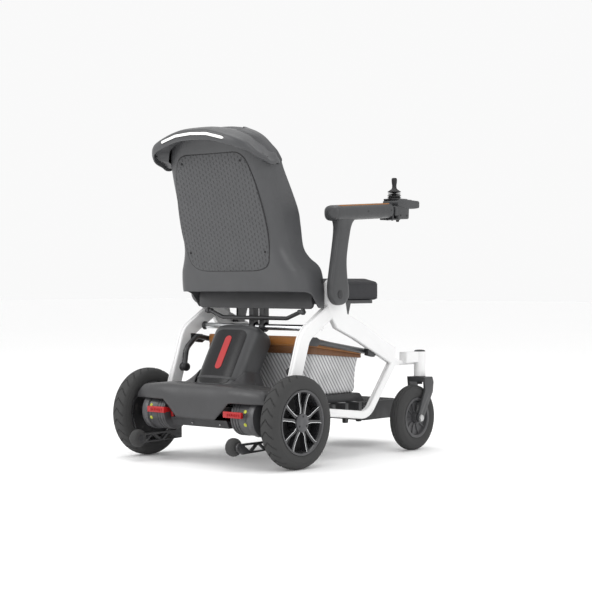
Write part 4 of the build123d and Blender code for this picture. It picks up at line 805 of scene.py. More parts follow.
def slab(outline: np.ndarray, origin: Any, right: Any, rise: Any,
         depths: Sequence[tuple[float, float]]) -> Shape:
    """A flat outline given thickness, with eased edges.

    Args:
        outline: (n, 2) points in mm across the slab.
        origin: place of the outline's zero, in mm (X, ahead, height).
        right: direction of the outline's first axis.
        rise: direction of its second axis.
        depths: (inset, height) in mm of each row of edge points, from one face to the other.

    Returns:
        Rows origin + right u + rise v + normal h, each inset towards the middle, with closed faces.
    """
    right, rise = np.asarray(right, float), np.asarray(rise, float)
    normal = np.cross(right, rise)
    middle = (outline.max(0) + outline.min(0)) / 2
    half = (outline.max(0) - outline.min(0)) / 2
    rows = []
    for inset, height in depths:
        shrunk = middle + (outline - middle) * ((half - inset) / half)
        rows.append(spots(origin) + (right * shrunk[:, :1] + rise * shrunk[:, 1:] + normal * height) / 1000)
    return skin(np.array(rows), ring=True, caps=True)


def eased(thickness: float, edge: float) -> list[tuple[float, float]]:
    """Edge rows for slab(): quarter-round edges on both faces.

    Args:
        thickness: from face to face, in mm.
        edge: radius of the edges.

    Returns:
        (inset, height) rows: edge (1 - sin), edge (1 - cos) and the same turned over.
    """
    angle = np.linspace(0, np.pi / 2, 5)
    low = [(edge * (1 - math.sin(a)), edge * (1 - math.cos(a))) for a in angle]
    return low + [(i, thickness - h) for i, h in low[::-1]]


def side_slab(outline: np.ndarray, x: float, thickness: float, edge: float) -> Shape:
    """Side-view outline (ahead, height in mm) given thickness in X, centred on x."""
    flipped = np.stack((-outline[:, 0], outline[:, 1]), 1)
    return slab(flipped, (x - thickness / 2, 0, 0), (0, 1, 0), (0, 0, 1), eased(thickness, edge))


def block(low: Sequence[float], high: Sequence[float], edge: float) -> Shape:
    """Box between two corners in mm (X, ahead, height) with eased edges."""
    outline = rounded([(low[0], -high[1]), (high[0], -high[1]), (high[0], -low[1]), (low[0], -low[1])],
                      edge)
    return slab(outline, (0, 0, low[2]), (1, 0, 0), (0, 1, 0),
                eased(high[2] - low[2], min(edge, (high[2] - low[2]) / 2.01)))


def screw(place: Any, axis: Sequence[float], radius: float, sides: int = 24) -> list[Shape]:
    """Domed screw head with a six-sided socket, at a place in mm, facing along the axis."""
    head = turned([(0.001, -1.0), (radius, -1.0), (radius, 0.6), (radius * 0.86, 1.3), (radius * 0.5, 1.6),
                   (radius * 0.5, 0.4), (0.001, 0.4)], place, axis, sides)
    return [head]


# ---------------------------------------------------------------- making pieces
@dataclass
class Workshop:
    """Puts finished shapes into the scene and keeps count of them.

    Attributes:
        made: names of the pieces made.
    """

    frame: dict
    made: list[str] = field(default_factory=list)

    def put(self, name: str, shape: Shape, finish: Finish, body: str, stands_for: Sequence[str] = (),
            slot: str = "", wall: float = 0.0, bevel: float = 0.0, flat: bool = False,
            outward: bool = True) -> bpy.types.Object:
        """Make one piece.

        Args:
            name: its name.
            shape: vertices in metres and faces.
            finish: its finish.
            body: the CAD body it rides on.
            stands_for: CAD nodes that it is shown in place of.
            slot: the record's material slot it belongs to; not used.
            wall: thickness added behind its faces, in metres.
            bevel: width of its bevelled edges, in metres.
            flat: leave its faces flat shaded.
            outward: have its normals worked out again.

        Returns:
            The object.
        """
        mesh = bpy.data.meshes.new(name)
        mesh.from_pydata(shape[0].tolist(), [], shape[1])
        work = bmesh.new()
        work.from_mesh(mesh)
        bmesh.ops.remove_doubles(work, verts=work.verts, dist=2e-5)
        if outward:
            bmesh.ops.recalc_face_normals(work, faces=work.faces)
        work.to_mesh(mesh)
        work.free()
        made = bpy.data.objects.new(name, mesh)
        bpy.context.scene.collection.objects.link(made)
        return self.close(made, finish, body, stands_for, slot, wall, bevel, flat)

    def close(self, made: bpy.types.Object, finish: Finish, body: str, stands_for: Sequence[str] = (),
              slot: str = "", wall: float = 0.0, bevel: float = 0.0,
              flat: bool = False) -> bpy.types.Object:
        """Dress a made object, give it its modifiers and hand it to the frame.

        Args:
            made: the object, in place.
            finish: its finish.
            body: the CAD body it rides on.
            stands_for: CAD nodes that it is shown in place of.
            slot: the record's material slot; not used.
            wall: thickness added behind its faces.
            bevel: width of its bevelled edges.
            flat: leave its faces flat shaded.

        Returns:
            The same object.
        """
        mesh = made.data
        mesh.materials.clear()
        mesh.materials.append(finish.material())
        mesh.polygons.foreach_set("use_smooth", np.full(len(mesh.polygons), not flat))
        if wall:
            solid = made.modifiers.new("wall", "SOLIDIFY")
            solid.thickness = wall
            solid.offset = -1
            solid.use_even_offset = False
        if bevel:
            edge = made.modifiers.new("edges", "BEVEL")
            edge.width = bevel
            edge.segments = 2
            edge.limit_method = "ANGLE"
            edge.angle_limit = math.radians(32)
            edge.harden_normals = True
        if not flat and not bevel:
            self.crease(mesh)
        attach(made, body)
        if stands_for:
            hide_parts(*stands_for)
        self.made.append(made.name)
        LOG.info("piece %s on %s", made.name, body)
        return made

    @staticmethod
    def crease(mesh: bpy.types.Mesh) -> None:
        """Shade sharply across edges that turn by more than 38 degrees."""
        mesh.set_sharp_from_angle(angle=math.radians(38))

    def soften(self, node: str, finish: Finish, width: float = 0.0012) -> bpy.types.Object:
        """Show a CAD node with eased edges: a merged copy, its flat faces joined and its edges bevelled.

        Args:
            node: the node's name.
            finish: its finish.
            width: width of the eased edges, in metres.

        Returns:
            The copy, shown in the node's place.
        """
        source = self.frame["nodes"][node]
        body = source["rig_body"]
        mesh = source.data.copy()
        mesh.name = node + "_soft"
        work = bmesh.new()
        work.from_mesh(mesh)
        bmesh.ops.remove_doubles(work, verts=work.verts, dist=1e-6)
        bmesh.ops.dissolve_limit(work, angle_limit=math.radians(1.0), verts=work.verts, edges=work.edges)
        work.to_mesh(mesh)
        work.free()
        copy = bpy.data.objects.new(node + "_soft", mesh)
        bpy.context.scene.collection.objects.link(copy)
        slot = source.data.materials[0].name if source.data.materials else ""
        LOG.info("eased %s (%s)", node, slot)
        return self.close(copy, finish, body, (node,), bevel=width)

    def dress(self, finish: Finish, *nodes: str) -> None:
        """Give CAD nodes a finish in every slot."""
        for name in nodes:
            slots = self.frame["nodes"][name].data.materials
            for number in range(max(1, len(slots))):
                if number < len(slots):
                    slots[number] = finish.material()
                else:
                    slots.append(finish.material())


# ---------------------------------------------------------------- studio
@dataclass
class Studio:
    """Camera, floor and soft light.

    Attributes:
        eye: the camera's place, in metres.
        turn: its azimuth from -Y, in radians, and its dip.
        dip: how far it looks down.
        lens: focal length on a 36 mm sensor.
    """

    eye: tuple[float, float, float] = (-2.9702, 3.4599, 0.5196)
    turn: float = math.radians(40.16)
    dip: float = math.radians(0.569)
    lens: float = 91.8

    def build(self) -> None:
        """Set the camera, the floor and the lights."""
        self.camera()
        self.floor()
        self.light("key_panel", (1.9, 3.6, 2.6), (0.0, 0.0, 0.5), 2.2, 60.0)
        self.light("side_panel", (-3.6, 1.0, 2.4), (0.0, 0.0, 0.5), 2.0, 26.0)
        self.light("top_panel", (0.0, 0.3, 4.2), (0.0, 0.0, 0.0), 3.5, 60.0)
        world = bpy.data.worlds.new("pale_room")
        bpy.context.scene.world = world
        world.use_nodes = True
        back = world.node_tree.nodes["Background"]
        back.inputs["Color"].default_value = (1.0, 1.0, 1.0, 1.0)
        back.inputs["Strength"].default_value = 0.95
        view = bpy.context.scene.view_settings
        view.view_transform = "Standard"
        view.look = "None"

    def camera(self) -> None:
        """Make the camera and aim it."""
        data = bpy.data.cameras.new("camera")
        data.lens = self.lens
        data.sensor_width = 36.0
        data.clip_end = 60.0
        camera = bpy.data.objects.new("camera", data)
        bpy.context.scene.collection.objects.link(camera)
        way = Vector((math.sin(self.turn) * math.cos(self.dip), -math.cos(self.turn) * math.cos(self.dip),
                      -math.sin(self.dip)))
        camera.location = self.eye
        camera.rotation_euler = way.to_track_quat("-Z", "Y").to_euler()
        bpy.context.scene.camera = camera

    def floor(self) -> None:
        """A wide pale floor just under the wheels."""
        grid = np.array([[(-30.0, -30.0, 0.0), (-30.0, 30.0, 0.0)],
                         [(30.0, -30.0, 0.0), (30.0, 30.0, 0.0)]])
        mesh = bpy.data.meshes.new("floor")
        verts, faces = skin(grid)
        mesh.from_pydata(verts.tolist(), [], faces)
        floor = bpy.data.objects.new("floor", mesh)
        bpy.context.scene.collection.objects.link(floor)
        book = NodeBook("pale_floor")
        mesh.materials.append(book.shade(
            {"Base Color": book.blend(book.noise(0.7, 2), (0.93, 0.93, 0.93), (0.96, 0.96, 0.96)),
             "Roughness": 0.6, "Specular IOR Level": 0.2, "Emission Color": (1.0, 1.0, 1.0, 1.0),
             "Emission Strength": 0.06}, None, 0.0))
        floor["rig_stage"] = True

    def light(self, name: str, place: tuple, target: tuple, size: float, power: float) -> None:
        """Add one soft panel.

        Args:
            name: its name.
            place: where it hangs.
            target: what it faces.
            size: its width.
            power: in watts.
        """
        data = bpy.data.lights.new(name, "AREA")
        data.energy = power
        data.size = size
        lamp = bpy.data.objects.new(name, data)
        bpy.context.scene.collection.objects.link(lamp)
        lamp.location = place
        lamp.rotation_euler = (Vector(target) - Vector(place)).to_track_quat("-Z", "Y").to_euler()
        lamp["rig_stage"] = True


# ---------------------------------------------------------------- frame
@dataclass
class FrameWork:
    """White side frames, crossbars and small joints.

    Attributes:
        shop: where the pieces go.
        centre: X of a side frame's middle, in mm.
        head: distance ahead and height of the beam's round head.
    """

    shop: Workshop
    centre: float = 232.0
    head: tuple[float, float] = (235.0, 485.0)

    def build(self) -> None:
        """Ease the CAD parts and add caps and bolts."""
        for side in Side:
            for part in ("side_beam", "rear_leg", "front_leg"):
                self.shop.soften(f"{side.word}_{part}", WHITE_PAINT, 0.0028)
            self.shop.soften(f"{side.word}_caster_mount", WHITE_PAINT, 0.0025)
            self.caps(side)
        self.shop.soften("seat_crossbeam", SILVER, 0.001)
        self.shop.soften("front_crossbar", BLACK_PAINT, 0.0012)
        self.shop.dress(STEEL, "footplate_pin")
        self.shop.soften("drive_chassis", BLACK_PAINT, 0.0025)
        self.shop.soften("anti_tip_arms", BLACK_PAINT, 0.0008)

    def caps(self, side: Side) -> None:
        """Round cover, ring and bolts on the beam's head, and end caps on the crossbars."""
        sign = side.value
        outer, out = sign * (self.centre + 10), (sign, 0, 0)
        ring = turned([(0.001, -0.5), (33, -0.5), (34, 0.8), (32, 1.6), (27, 1.9), (26, 1.2), (0.001, 1.2)],
                      (outer, *self.head), out, 72)
        self.shop.put(f"{side.word}_head_cover", ring, SATIN, "frame")
        bolts = [s for place in ((173, 384), (404, 136)) for s in screw((outer, *place), out, 6.5)]
        self.shop.put(f"{side.word}_frame_bolts", together(bolts), WHITE_PAINT, "frame")
        collars = [turned([(9.1, 0), (12.5, 0), (12.5, 4), (11.5, 5.5), (9.1, 5.5), (9.1, 0)],
                          (sign * 222, *place), (-sign, 0, 0), 40) for place in ((173, 384), (404, 136))]
        self.shop.put(f"{side.word}_crossbar_collars", together(collars), GREY_PAINT, "frame")


# ---------------------------------------------------------------- drive wheels
@dataclass
class DriveWheel:
    """Rear wheel: treaded tyre, black rim with bright edged spokes and a hub cap.

    Attributes:
        shop: where the pieces go.
        side: which side of the chair.
        centre: X of the wheel's middle, in mm.
        radius: of the tyre.
        width: of the tyre.
        bead: radius where the tyre meets the rim.
        height: of the axle.
        chevrons: number of tread chevrons round the tyre.
        groove: depth of a tread groove.
    """

    shop: Workshop
    side: Side
    centre: float = 290.0
    radius: float = 130.0
    width: float = 55.0
    bead: float = 90.0
    height: float = 130.0
    chevrons: int = 26
    groove: float = 2.6

    @property
    def place(self) -> tuple[float, float, float]:
        """The wheel's middle, in mm."""
        return (self.side.value * self.centre, 0.0, self.height)

    @property
    def body(self) -> str:
        """The CAD body it turns with."""
        return f"{self.side.word}_drive_wheel"

    def tyre(self) -> None:
        """Tyre as a grid of angle by section, with grooves pressed in by a formula.

        A groove lies where |sin(n a / 2 - 0.11 |s|)| is small on the tread, a the angle and s the
        distance from the middle in mm; two shallow rings mark the sidewall.
        """
        half = self.width / 2
        section = smooth_curve([
            (half - 6, self.bead - 1), (half - 1, 97), (half, 104), (half - 0.5, 112), (half - 3.2, 120),
            (half - 8.5, 126.4), (9, self.radius - 0.4), (0, self.radius), (-9, self.radius - 0.4),
            (-half + 8.5, 126.4), (-half + 3.2, 120), (-half + 0.5, 112), (-half, 104), (-half + 1, 97),
            (-half + 6, self.bead - 1)], 62)
        angle = np.linspace(0, 2 * np.pi, 552, endpoint=False)[:, None]
        s, r = section[None, :, 0], section[None, :, 1]
        phase = angle * self.chevrons / 2
        chevron = np.abs(np.sin(phase - np.abs(s) * 0.11)) < 0.19
        tread = (np.abs(s) < 21.5) & (r > 118)
        wall_rings = 0.8 * (np.abs(r - 98) < 0.9) + 0.5 * (np.abs(r - 113) < 0.9)
        depth = self.groove * (chevron & tread)
        r = r - depth - wall_rings
        x = np.broadcast_to(s, r.shape) * self.side.value
        x = x - np.sign(x) * wall_rings
        grid = np.stack((self.place[0] + x, -np.sin(angle) * r, self.height + np.cos(angle) * r), -1)
        self.shop.put(f"{self.side.word}_tyre", skin(spots(grid), ring=True, loop=True), TYRE, self.body,
                      (f"{self.side.word}_wheel_tyre",), "tyre_rubber")

    def spoke(self, turn: float, lean: float) -> tuple[Shape, Shape]:
        """One spoke: a black bar that kinks outwards, with a bright machined face.

        Args:
            turn: angle of the pair, in radians.
            lean: which side of the pair, -1 or 1.

        Returns:
            The bar and its bright edge.
        """
        radius = np.array((20.0, 38.0, 56.0, 72.0, 84.5))
        across = np.array((5.5, 7.0, 12.5, 17.0, 20.5)) * lean
        face = np.array((20.5, 21.0, 19.5, 20.0, 22.5))
        wide = np.array((5.0, 4.4, 4.0, 4.2, 6.0))
        bars = []
        for low, high, half, shift in ((5.0, 0.0, wide, 0.0), (-0.4, 0.7, 0.75, wide - 1.0)):
            rows = []
            for along, up in ((-1, low), (1, low), (1, high), (-1, high)):
                y = across + lean * shift + along * half
                depth = face - (face - 4 if up == 5.0 else -up)
                rows.append(np.stack((self.side.value * depth, radius, y), -1))
            local = np.array(rows).transpose(1, 0, 2)
            c, s = math.cos(turn), math.sin(turn)
            grid = np.stack((self.place[0] + local[..., 0], -(local[..., 1] * c - local[..., 2] * s),
                             self.height + local[..., 1] * s + local[..., 2] * c), -1)
            bars.append(skin(spots(grid), ring=True, caps=True))
        return bars[0], bars[1]

    def rim(self) -> None:
        """Barrel and lip, five pairs of spokes and the hub."""
        out = (self.side.value, 0, 0)
        barrel = turned([(90.5, -25), (88, -25.5), (84, -24), (80, -18), (78.5, 0), (80, 12), (82, 20),
                         (85.5, 24.5),
                         (88.5, 25.5), (91, 24.5), (91, 10), (91, -10), (90.5, -25)], self.place, out, 96)
        hub = turned([(0.001, -27), (25, -27), (25, 4), (24, 14), (23, 19), (0.001, 19)], self.place, out,
                     64)
        lip = turned([(84.5, 24.2), (86.0, 25.4), (88.4, 25.9), (90.2, 25.2), (88.6, 24.6), (86, 24.4),
                      (84.5, 24.2)],
                     self.place, out, 96)
        pairs = [self.spoke(math.pi / 2 + number * 2 * math.pi / 5 + 0.1, lean) for number in range(5)
                 for lean in (-1, 1)]
        dark = together([barrel, hub] + [p[0] for p in pairs])
        self.shop.put(f"{self.side.word}_rim", dark, RIM_BLACK, self.body, (f"{self.side.word}_wheel_rim",),
                      "wheel_rim_alloy", bevel=0.0007)
        self.shop.put(f"{self.side.word}_rim_machined", together([p[1] for p in pairs]), MACHINED,
                      self.body, (), "wheel_rim_alloy", bevel=0.0003)
        shield = turned([(24, -15), (82, -15), (82, -12), (50, -9), (24, -12), (24, -15)], self.place, out,
                        72)
        self.shop.put(f"{self.side.word}_rim_shield", shield, SOFT_BLACK, self.body, (), "wheel_rim_alloy")
        self.shop.put(f"{self.side.word}_rim_lip", lip, HUB_GREY, self.body, (), "wheel_rim_alloy")

    def hub_cap(self) -> None:
        """Domed cap with three screws and a valve stem on the barrel."""
        out = (self.side.value, 0, 0)
        cap = turned([(0.001, 18.5), (26, 18.5), (26.5, 21), (25.5, 24), (22, 25.6), (12, 26.4), (9, 25.8),
                      (0.001, 25.8)],
                     self.place, out, 72)
        self.shop.put(f"{self.side.word}_hub_cap", cap, GREY_PAINT, self.body)
        heads = []
        for number in range(3):
            a = math.radians(90 + 120 * number)
            spot = (self.place[0] + self.side.value * 25.4, 17.5 * math.cos(a),
                    self.height + 17.5 * math.sin(a))
            heads += screw(spot, out, 3.0)
        self.shop.put(f"{self.side.word}_hub_screws", together(heads), SEAM_AND_SHADE, self.body)
        valve = carried(superellipse(0.0028, 0.0028, 2, 14),
                        spots([(self.place[0] + self.side.value * 8, 0, self.height + 79),
                               (self.place[0] + self.side.value * 14, 0, self.height + 66)]), (0, 1, 0))
        self.shop.put(f"{self.side.word}_valve", valve, SOFT_BLACK, self.body)

    def build(self) -> None:
        """Make the wheel."""
        self.tyre()
        self.rim()
        self.hub_cap()
        self.shop.dress(STEEL, f"{self.side.word}_wheel_axle")


# ---------------------------------------------------------------- casters
@dataclass
class Caster:
    """Front caster: grooved tyre, grey rim, fork and its bolts.

    Attributes:
        shop: where the pieces go.
        side: which side of the chair.
        centre: X of the caster, in mm.
        ahead: distance of its axle ahead of the rear axle.
        radius: of the tyre.
        width: of the tyre.
        stem: distance of the stem ahead of the rear axle.
    """

    shop: Workshop
    side: Side
    centre: float = 250.0
    ahead: float = 602.0
    radius: float = 100.0
    width: float = 44.0
    stem: float = 641.0

    @property
    def place(self) -> tuple[float, float, float]:
        """The wheel's middle, in mm."""
        return (self.side.value * self.centre, self.ahead, self.radius)

    def tyre(self) -> None:
        """Tyre section turned round the axle: four rings are cut in the tread."""
        half = self.width / 2
        s = np.linspace(half - 3, -half + 3, 71)
        crown = self.radius - 0.0105 * s**2 - 0.000050 * s**4
        rings = 1.7 * ((np.abs(np.abs(s) - 4.2) < 1.0) | (np.abs(np.abs(s) - 11.4) < 1.0))
        tread = np.stack((crown - rings, s), 1)
        wall = smooth_curve([(crown[0], half - 3), (82, half), (74, half - 0.6), (64, half - 4),
                             (60.5, half - 5)], 18)
        profile = np.vstack((wall[::-1], tread[1:-1], wall * (1, -1)))
        profile = np.vstack((profile, profile[:1]))
        shape = turned(profile, self.place, (1, 0, 0), 128)
        self.shop.put(f"{self.side.word}_caster_rubber", shape, TYRE,
                      f"{self.side.word}_caster_wheel", (f"{self.side.word}_caster_tyre",), "caster_rubber")

    def rim(self) -> None:
        """Dished grey rim with a raised hub and ten ribs on each face."""
        outer = turned([(61.5, -19), (58, -20), (53, -18), (50, -9), (30, -7), (18, -9), (17, -23),
                        (7, -24), (6.2, -24),
                        (6.2, 24), (7, 24), (17, 23), (18, 9), (30, 7), (50, 9), (53, 18), (58, 20),
                        (61.5, 19),
                        (61.5, -19)], self.place, (1, 0, 0), 96)
        self.shop.put(f"{self.side.word}_caster_disc", outer, HUB_GREY,
                      f"{self.side.word}_caster_wheel", (f"{self.side.word}_caster_rim",),
                      "caster_rim_plastic")
        ribs = []
        for number in range(10):
            a = 2 * math.pi * number / 10
            y, z = math.cos(a), math.sin(a)
            for face in (-1, 1):
                path = spots([(self.place[0] + face * 9, self.ahead + y * 18, self.radius + z * 18),
                              (self.place[0] + face * 8.6, self.ahead + y * 34, self.radius + z * 34),
                              (self.place[0] + face * 11, self.ahead + y * 51, self.radius + z * 51)])
                ribs.append(carried(superellipse(0.0022, 0.0022, 3, 10), path, (1, 0, 0)))
        self.shop.put(f"{self.side.word}_caster_ribs", together(ribs), HUB_GREY,
                      f"{self.side.word}_caster_wheel")

    def fork(self) -> None:
        """The CAD fork and axle with eased edges, washers, a stem cap and a seal."""
        word = self.side.word
        self.shop.soften(f"{word}_caster_fork", SATIN, 0.0022)
        self.shop.soften(f"{word}_caster_axle", STEEL, 0.0008)
        x = self.place[0]
        washers = [turned([(6.1, 0), (10.5, 0), (10.5, 1.2), (6.1, 1.2), (6.1, 0)],
                          (x + end * 33.2, self.ahead, self.radius),
                          (end, 0, 0), 32) for end in (-1, 1)]
        self.shop.put(f"{word}_fork_washers", together(washers), STEEL, f"{word}_caster_fork")
        cap = turned([(0.001, 0), (17, 0), (17, 2), (14.5, 4.2), (8, 5.2), (0.001, 5.4)],
                     (x, self.stem, 302), (0, 0, 1), 64)
        self.shop.put(f"{word}_stem_cap", cap, DARK, "frame")
        seal = turned([(9.2, 0), (17.5, 0), (17.5, 1.4), (9.2, 1.4), (9.2, 0)], (x, self.stem, 224.4),
                      (0, 0, 1), 48)
        self.shop.put(f"{word}_stem_seal", seal, SOFT_BLACK, "frame")

    def build(self) -> None:
        """Make the caster."""
        self.tyre()
        self.rim()
        self.fork()


# ---------------------------------------------------------------- soft goods
@dataclass
class Upholsterer:
    """Stuffs a plain CAD cushion with cloth under pressure.

    Attributes:
        shop: where the pieces go.
        voxel: size of the cover's first mesh, in metres.
        pressure: what fills it.
        frames: length of the simulation.
        most: how far the stuffing may move a place, in metres.
    """

    shop: Workshop
    voxel: float = 0.006
    pressure: float = 4.0
    frames: int = 20
    most: float = 0.010

    def stuff(self, node: str, name: str, finish: Finish, low: Sequence[float], high: Sequence[float],
              crown: float, slot: str, longer: float = 1.0,
              loose: Any = None) -> bpy.types.Object:
        """Make a cushion in a CAD node's place.

        Args:
            node: the CAD node it stands for.
            name: the cushion's name.
            finish: its cover.
            low: lowest corner it may reach, in mm (X, ahead, height).
            high: highest corner.
            crown: how far its middle rises before it is stuffed, in metres.
            slot: the record's material slot; not used.
            longer: how much longer than the node it is cut, from its rear edge.
            loose: share of its swelling that each place keeps, or None for all of it.

        Returns:
            The cushion, its moves capped to the box.
        """
        source = self.shop.frame["nodes"][node]
        mesh = source.data.copy()
        mesh.name = name
        work = bmesh.new()
        work.from_mesh(mesh)
        bmesh.ops.remove_doubles(work, verts=work.verts, dist=1e-6)
        work.to_mesh(mesh)
        work.free()
        made = bpy.data.objects.new(name, mesh)
        bpy.context.scene.collection.objects.link(made)
        remesh = made.modifiers.new("even", "REMESH")
        remesh.mode = "VOXEL"
        remesh.voxel_size = self.voxel
        self.settle(made)
        rest = self.points(made)
        rear = rest[:, 1].max()
        rest[:, 1] = rear + (rest[:, 1] - rear) * longer
        start = self.crowned(rest, crown)
        made.data.vertices.foreach_set("co", start.ravel())
        self.inflate(made)
        swell = np.clip(self.points(made) - start, -self.most, self.most)
        end = start + (swell if loose is None else swell * loose(start)[:, None])
        corners = np.sort(spots([low, high]), axis=0)
        end = np.clip(end, corners[0], corners[1])
        made.data.vertices.foreach_set("co", end.ravel())
        made.data.update()
        fine = made.modifiers.new("fine", "SUBSURF")
        fine.levels = fine.render_levels = 1
        self.shop.close(made, finish, source["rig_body"], (node,), slot)
        return made

    @staticmethod
    def crowned(points: np.ndarray, crown: float) -> np.ndarray:
        """Raise the upper face by crown (1 - u^4)(1 - v^4), u and v across the box from -1 to 1."""
        low, high = points.min(0), points.max(0)
        uvw = (points - (low + high) / 2) / ((high - low) / 2)
        lift = crown * (1 - uvw[:, 0]**4) * (1 - uvw[:, 1]**4) * np.clip(uvw[:, 2], 0, 1)
        return points + np.stack((lift * 0, lift * 0, lift), 1)

    @staticmethod
    def points(made: bpy.types.Object) -> np.ndarray:
        """Vertex places of a mesh object as (n, 3)."""
        flat = np.empty(len(made.data.vertices) * 3)
        made.data.vertices.foreach_get("co", flat)
        return flat.reshape(-1, 3)

    @staticmethod
    def settle(made: bpy.types.Object) -> None:
        """Apply what its modifiers show now."""
        depsgraph = bpy.context.evaluated_depsgraph_get()
        shown = bpy.data.meshes.new_from_object(made.evaluated_get(depsgraph))
        made.modifiers.clear()
        made.data = shown

    def inflate(self, made: bpy.types.Object) -> None:
        """Blow the cover up a little, with no gravity, and keep where it ends."""
        cloth = made.modifiers.new("cover", "CLOTH")
        cloth.settings.quality = 6
        cloth.settings.mass = 0.3
        cloth.settings.tension_stiffness = 18
        cloth.settings.compression_stiffness = 18
        cloth.settings.bending_stiffness = 4
        cloth.settings.use_pressure = True
        cloth.settings.uniform_pressure_force = self.pressure
        cloth.settings.effector_weights.gravity = 0
        cloth.collision_settings.use_collision = False
        cloth.point_cache.frame_start = 1
        cloth.point_cache.frame_end = self.frames
        for frame in range(1, self.frames + 1):
            bpy.context.scene.frame_set(frame)
        self.settle(made)
        bpy.context.scene.frame_set(1)


# ---------------------------------------------------------------- backrest
@dataclass
class Backrest:
    """Moulded shell with a hooded push handle, slotted rear panel and back pad.

    Attributes:
        shop: where the pieces go.
        slope: how far the rear face leans back per unit of height.
        waist: (height, half width, corner width, front edge) of the shell, in mm.
    """

    shop: Workshop
    slope: float = 0.2773
    waist: tuple = (
        (440, 238.0, 40, 187), (500, 236.5, 44, 188), (545, 228.0, 48, 188), (566, 219.0, 50, 182),
        (588, 207.0, 46, 158), (618, 195.5, 40, 145), (675, 187.5, 34, 143), (720, 186.5, 36, 134),
        (770, 188.5, 42, 106), (830, 193.0, 58, 65), (878, 191.0, 74, 41), (919, 169.0, 82, 19),
        (940, 144.0, 76, 7), (956, 104.0, 60, 0),
    )
    rim_plan: tuple = (
        (188, 48), (203, 32), (208, 4), (206, -26), (197, -70), (170, -99), (122, -112), (60, -117),
        (0, -118),
    )
    rim_low: tuple = ((0, 917), (60, 914), (127, 899), (168, 886), (190, 876), (204, 856), (208, 844))
    rim_top: tuple = ((0, 948), (60, 945), (127, 928), (168, 914), (190, 901), (204, 876), (208, 860))
    dip: tuple = ((188, 36, 862), (184, 28, 876), (176, 20, 889), (160, 8, 908), (134, -4, 929),
                  (104, -14, 942),
                  (66, -19, 949), (30, -22, 951), (0, -22, 951))
    lip: tuple = ((196, 46, 866), (192, 40, 880), (186, 35, 892), (169, 22, 914), (142, 11, 936),
                  (108, 2, 952),
                  (66, -4, 959), (30, -6, 961), (0, -6, 961))

    def rear(self, height: Any) -> Any:
        """Distance ahead of the rear face at a height."""
        return -34.0 - self.slope * (height - 857.0)

    def shell(self) -> None:
        """Shell as a grid: along the section from one front edge round the back to the other, by height.

        Each half section is a straight side, a quarter superellipse corner and a straight back;
        its width, corner and front edge follow smooth curves of the height.
        """
        table = smooth_curve(self.waist, 400)
        side = np.linspace(0, 1, 64)
        reach = np.concatenate((-side[::-1], side[1:]))
        share = np.clip((np.abs(reach) - 0.62) / 0.24, 0, 1)
        share = share * share * (3 - 2 * share)
        bottom = 488 - 46 * share
        top = 942 + 14 * np.clip((np.abs(reach) - 0.5) / 0.3, 0, 1)
        level = np.linspace(0, 1, 120)[:, None]
        height = bottom + (top - bottom) * level
        half, corner, front = (np.interp(height, table[:, 0], table[:, k]) for k in (1, 2, 3))
        rear = self.rear(height)
        deep = np.minimum(62.0, (front - rear) * 0.7)
        span = np.broadcast_to(np.abs(reach), height.shape)
        flat = span < 0.42
        turn = np.clip((span - 0.42) / 0.26, 0, 1) * np.pi / 2
        along = np.clip((span - 0.68) / 0.32, 0, 1)
        x = np.where(flat, span / 0.42 * (half - corner), half - corner + corner * np.sin(turn)**0.92)
        ahead = np.where(span < 0.68, rear + deep * (1 - np.cos(turn)**0.92),
                         rear + deep + (front - rear - deep) * along)
        bulge = 2.2 * np.cos(np.clip(span / 0.42, 0, 1) * np.pi / 2)
        grid = np.stack((x * np.sign(reach), ahead - bulge * 0.2, height), -1)
        shape = skin(spots(grid))
        self.shop.put("back_shell_skin", self.facing(shape, (0, 120, 700)), SHELL, "backrest",
                      ("back_shell",),
                      "shell_plastic", wall=0.004, outward=False)

    @staticmethod
    def facing(shape: Shape, inside: Sequence[float]) -> Shape:
        """Turn all faces of an open shape away from a place in mm.

        Args:
            shape: vertices and quads.
            inside: the place they should look away from.

        Returns:
            The shape, its faces flipped when their mean normal looks towards the place.
        """
        verts, faces = shape
        quads = np.array([f[:4] for f in faces if len(f) == 4])
        a, b, c = verts[quads[:, 0]], verts[quads[:, 1]], verts[quads[:, 2]]
        out = np.einsum("ij,ij->i", np.cross(b - a, c - a), a - spots(inside))
        return shape if out.sum() > 0 else (verts, [f[::-1] for f in faces])

    def mirrored(self, half: np.ndarray) -> np.ndarray:
        """A half curve that ends on the middle plane, and its mirror image, as one curve."""
        return np.vstack((half, half[-2::-1] * np.array([-1.0] + [1.0] * (half.shape[1] - 1))))

    def rim_rows(self) -> tuple[np.ndarray, np.ndarray, np.ndarray, np.ndarray]:
        """Plan line of the rim, its inward direction and its lower and upper heights, from tip to tip."""
        plan = self.mirrored(smooth_curve(self.rim_plan, 70))
        low_table, top_table = (smooth_curve(t, 80) for t in (self.rim_low, self.rim_top))
        wide = np.minimum(np.abs(plan[:, 0]), 208.0)
        tip = np.clip((plan[:, 1] - 4) / 44, 0, 1)
        low = np.interp(wide, low_table[:, 0], low_table[:, 1])
        top = np.interp(wide, top_table[:, 0], top_table[:, 1])
        fade = tip * tip * (3 - 2 * tip)
        low = low * (1 - fade) + 846 * fade
        top = top * (1 - fade) + 862 * fade
        tangent = np.gradient(plan, axis=0)
        inward = np.stack((-tangent[:, 1], tangent[:, 0]), 1)
        inward /= np.linalg.norm(inward, axis=1, keepdims=True)
        inward *= np.sign(np.sum(inward * (np.array((0.0, 30.0)) - plan), axis=1, keepdims=True))
        return plan, inward, low, top

    def hood(self) -> None:
        """Hood as rows of curves from tip to tip: cavity, rim, top, dip and front lip."""
        plan, inward, low, top = self.rim_rows()
        dip = self.mirrored(smooth_curve(self.dip, 70))
        lip = self.mirrored(smooth_curve(self.lip, 70))

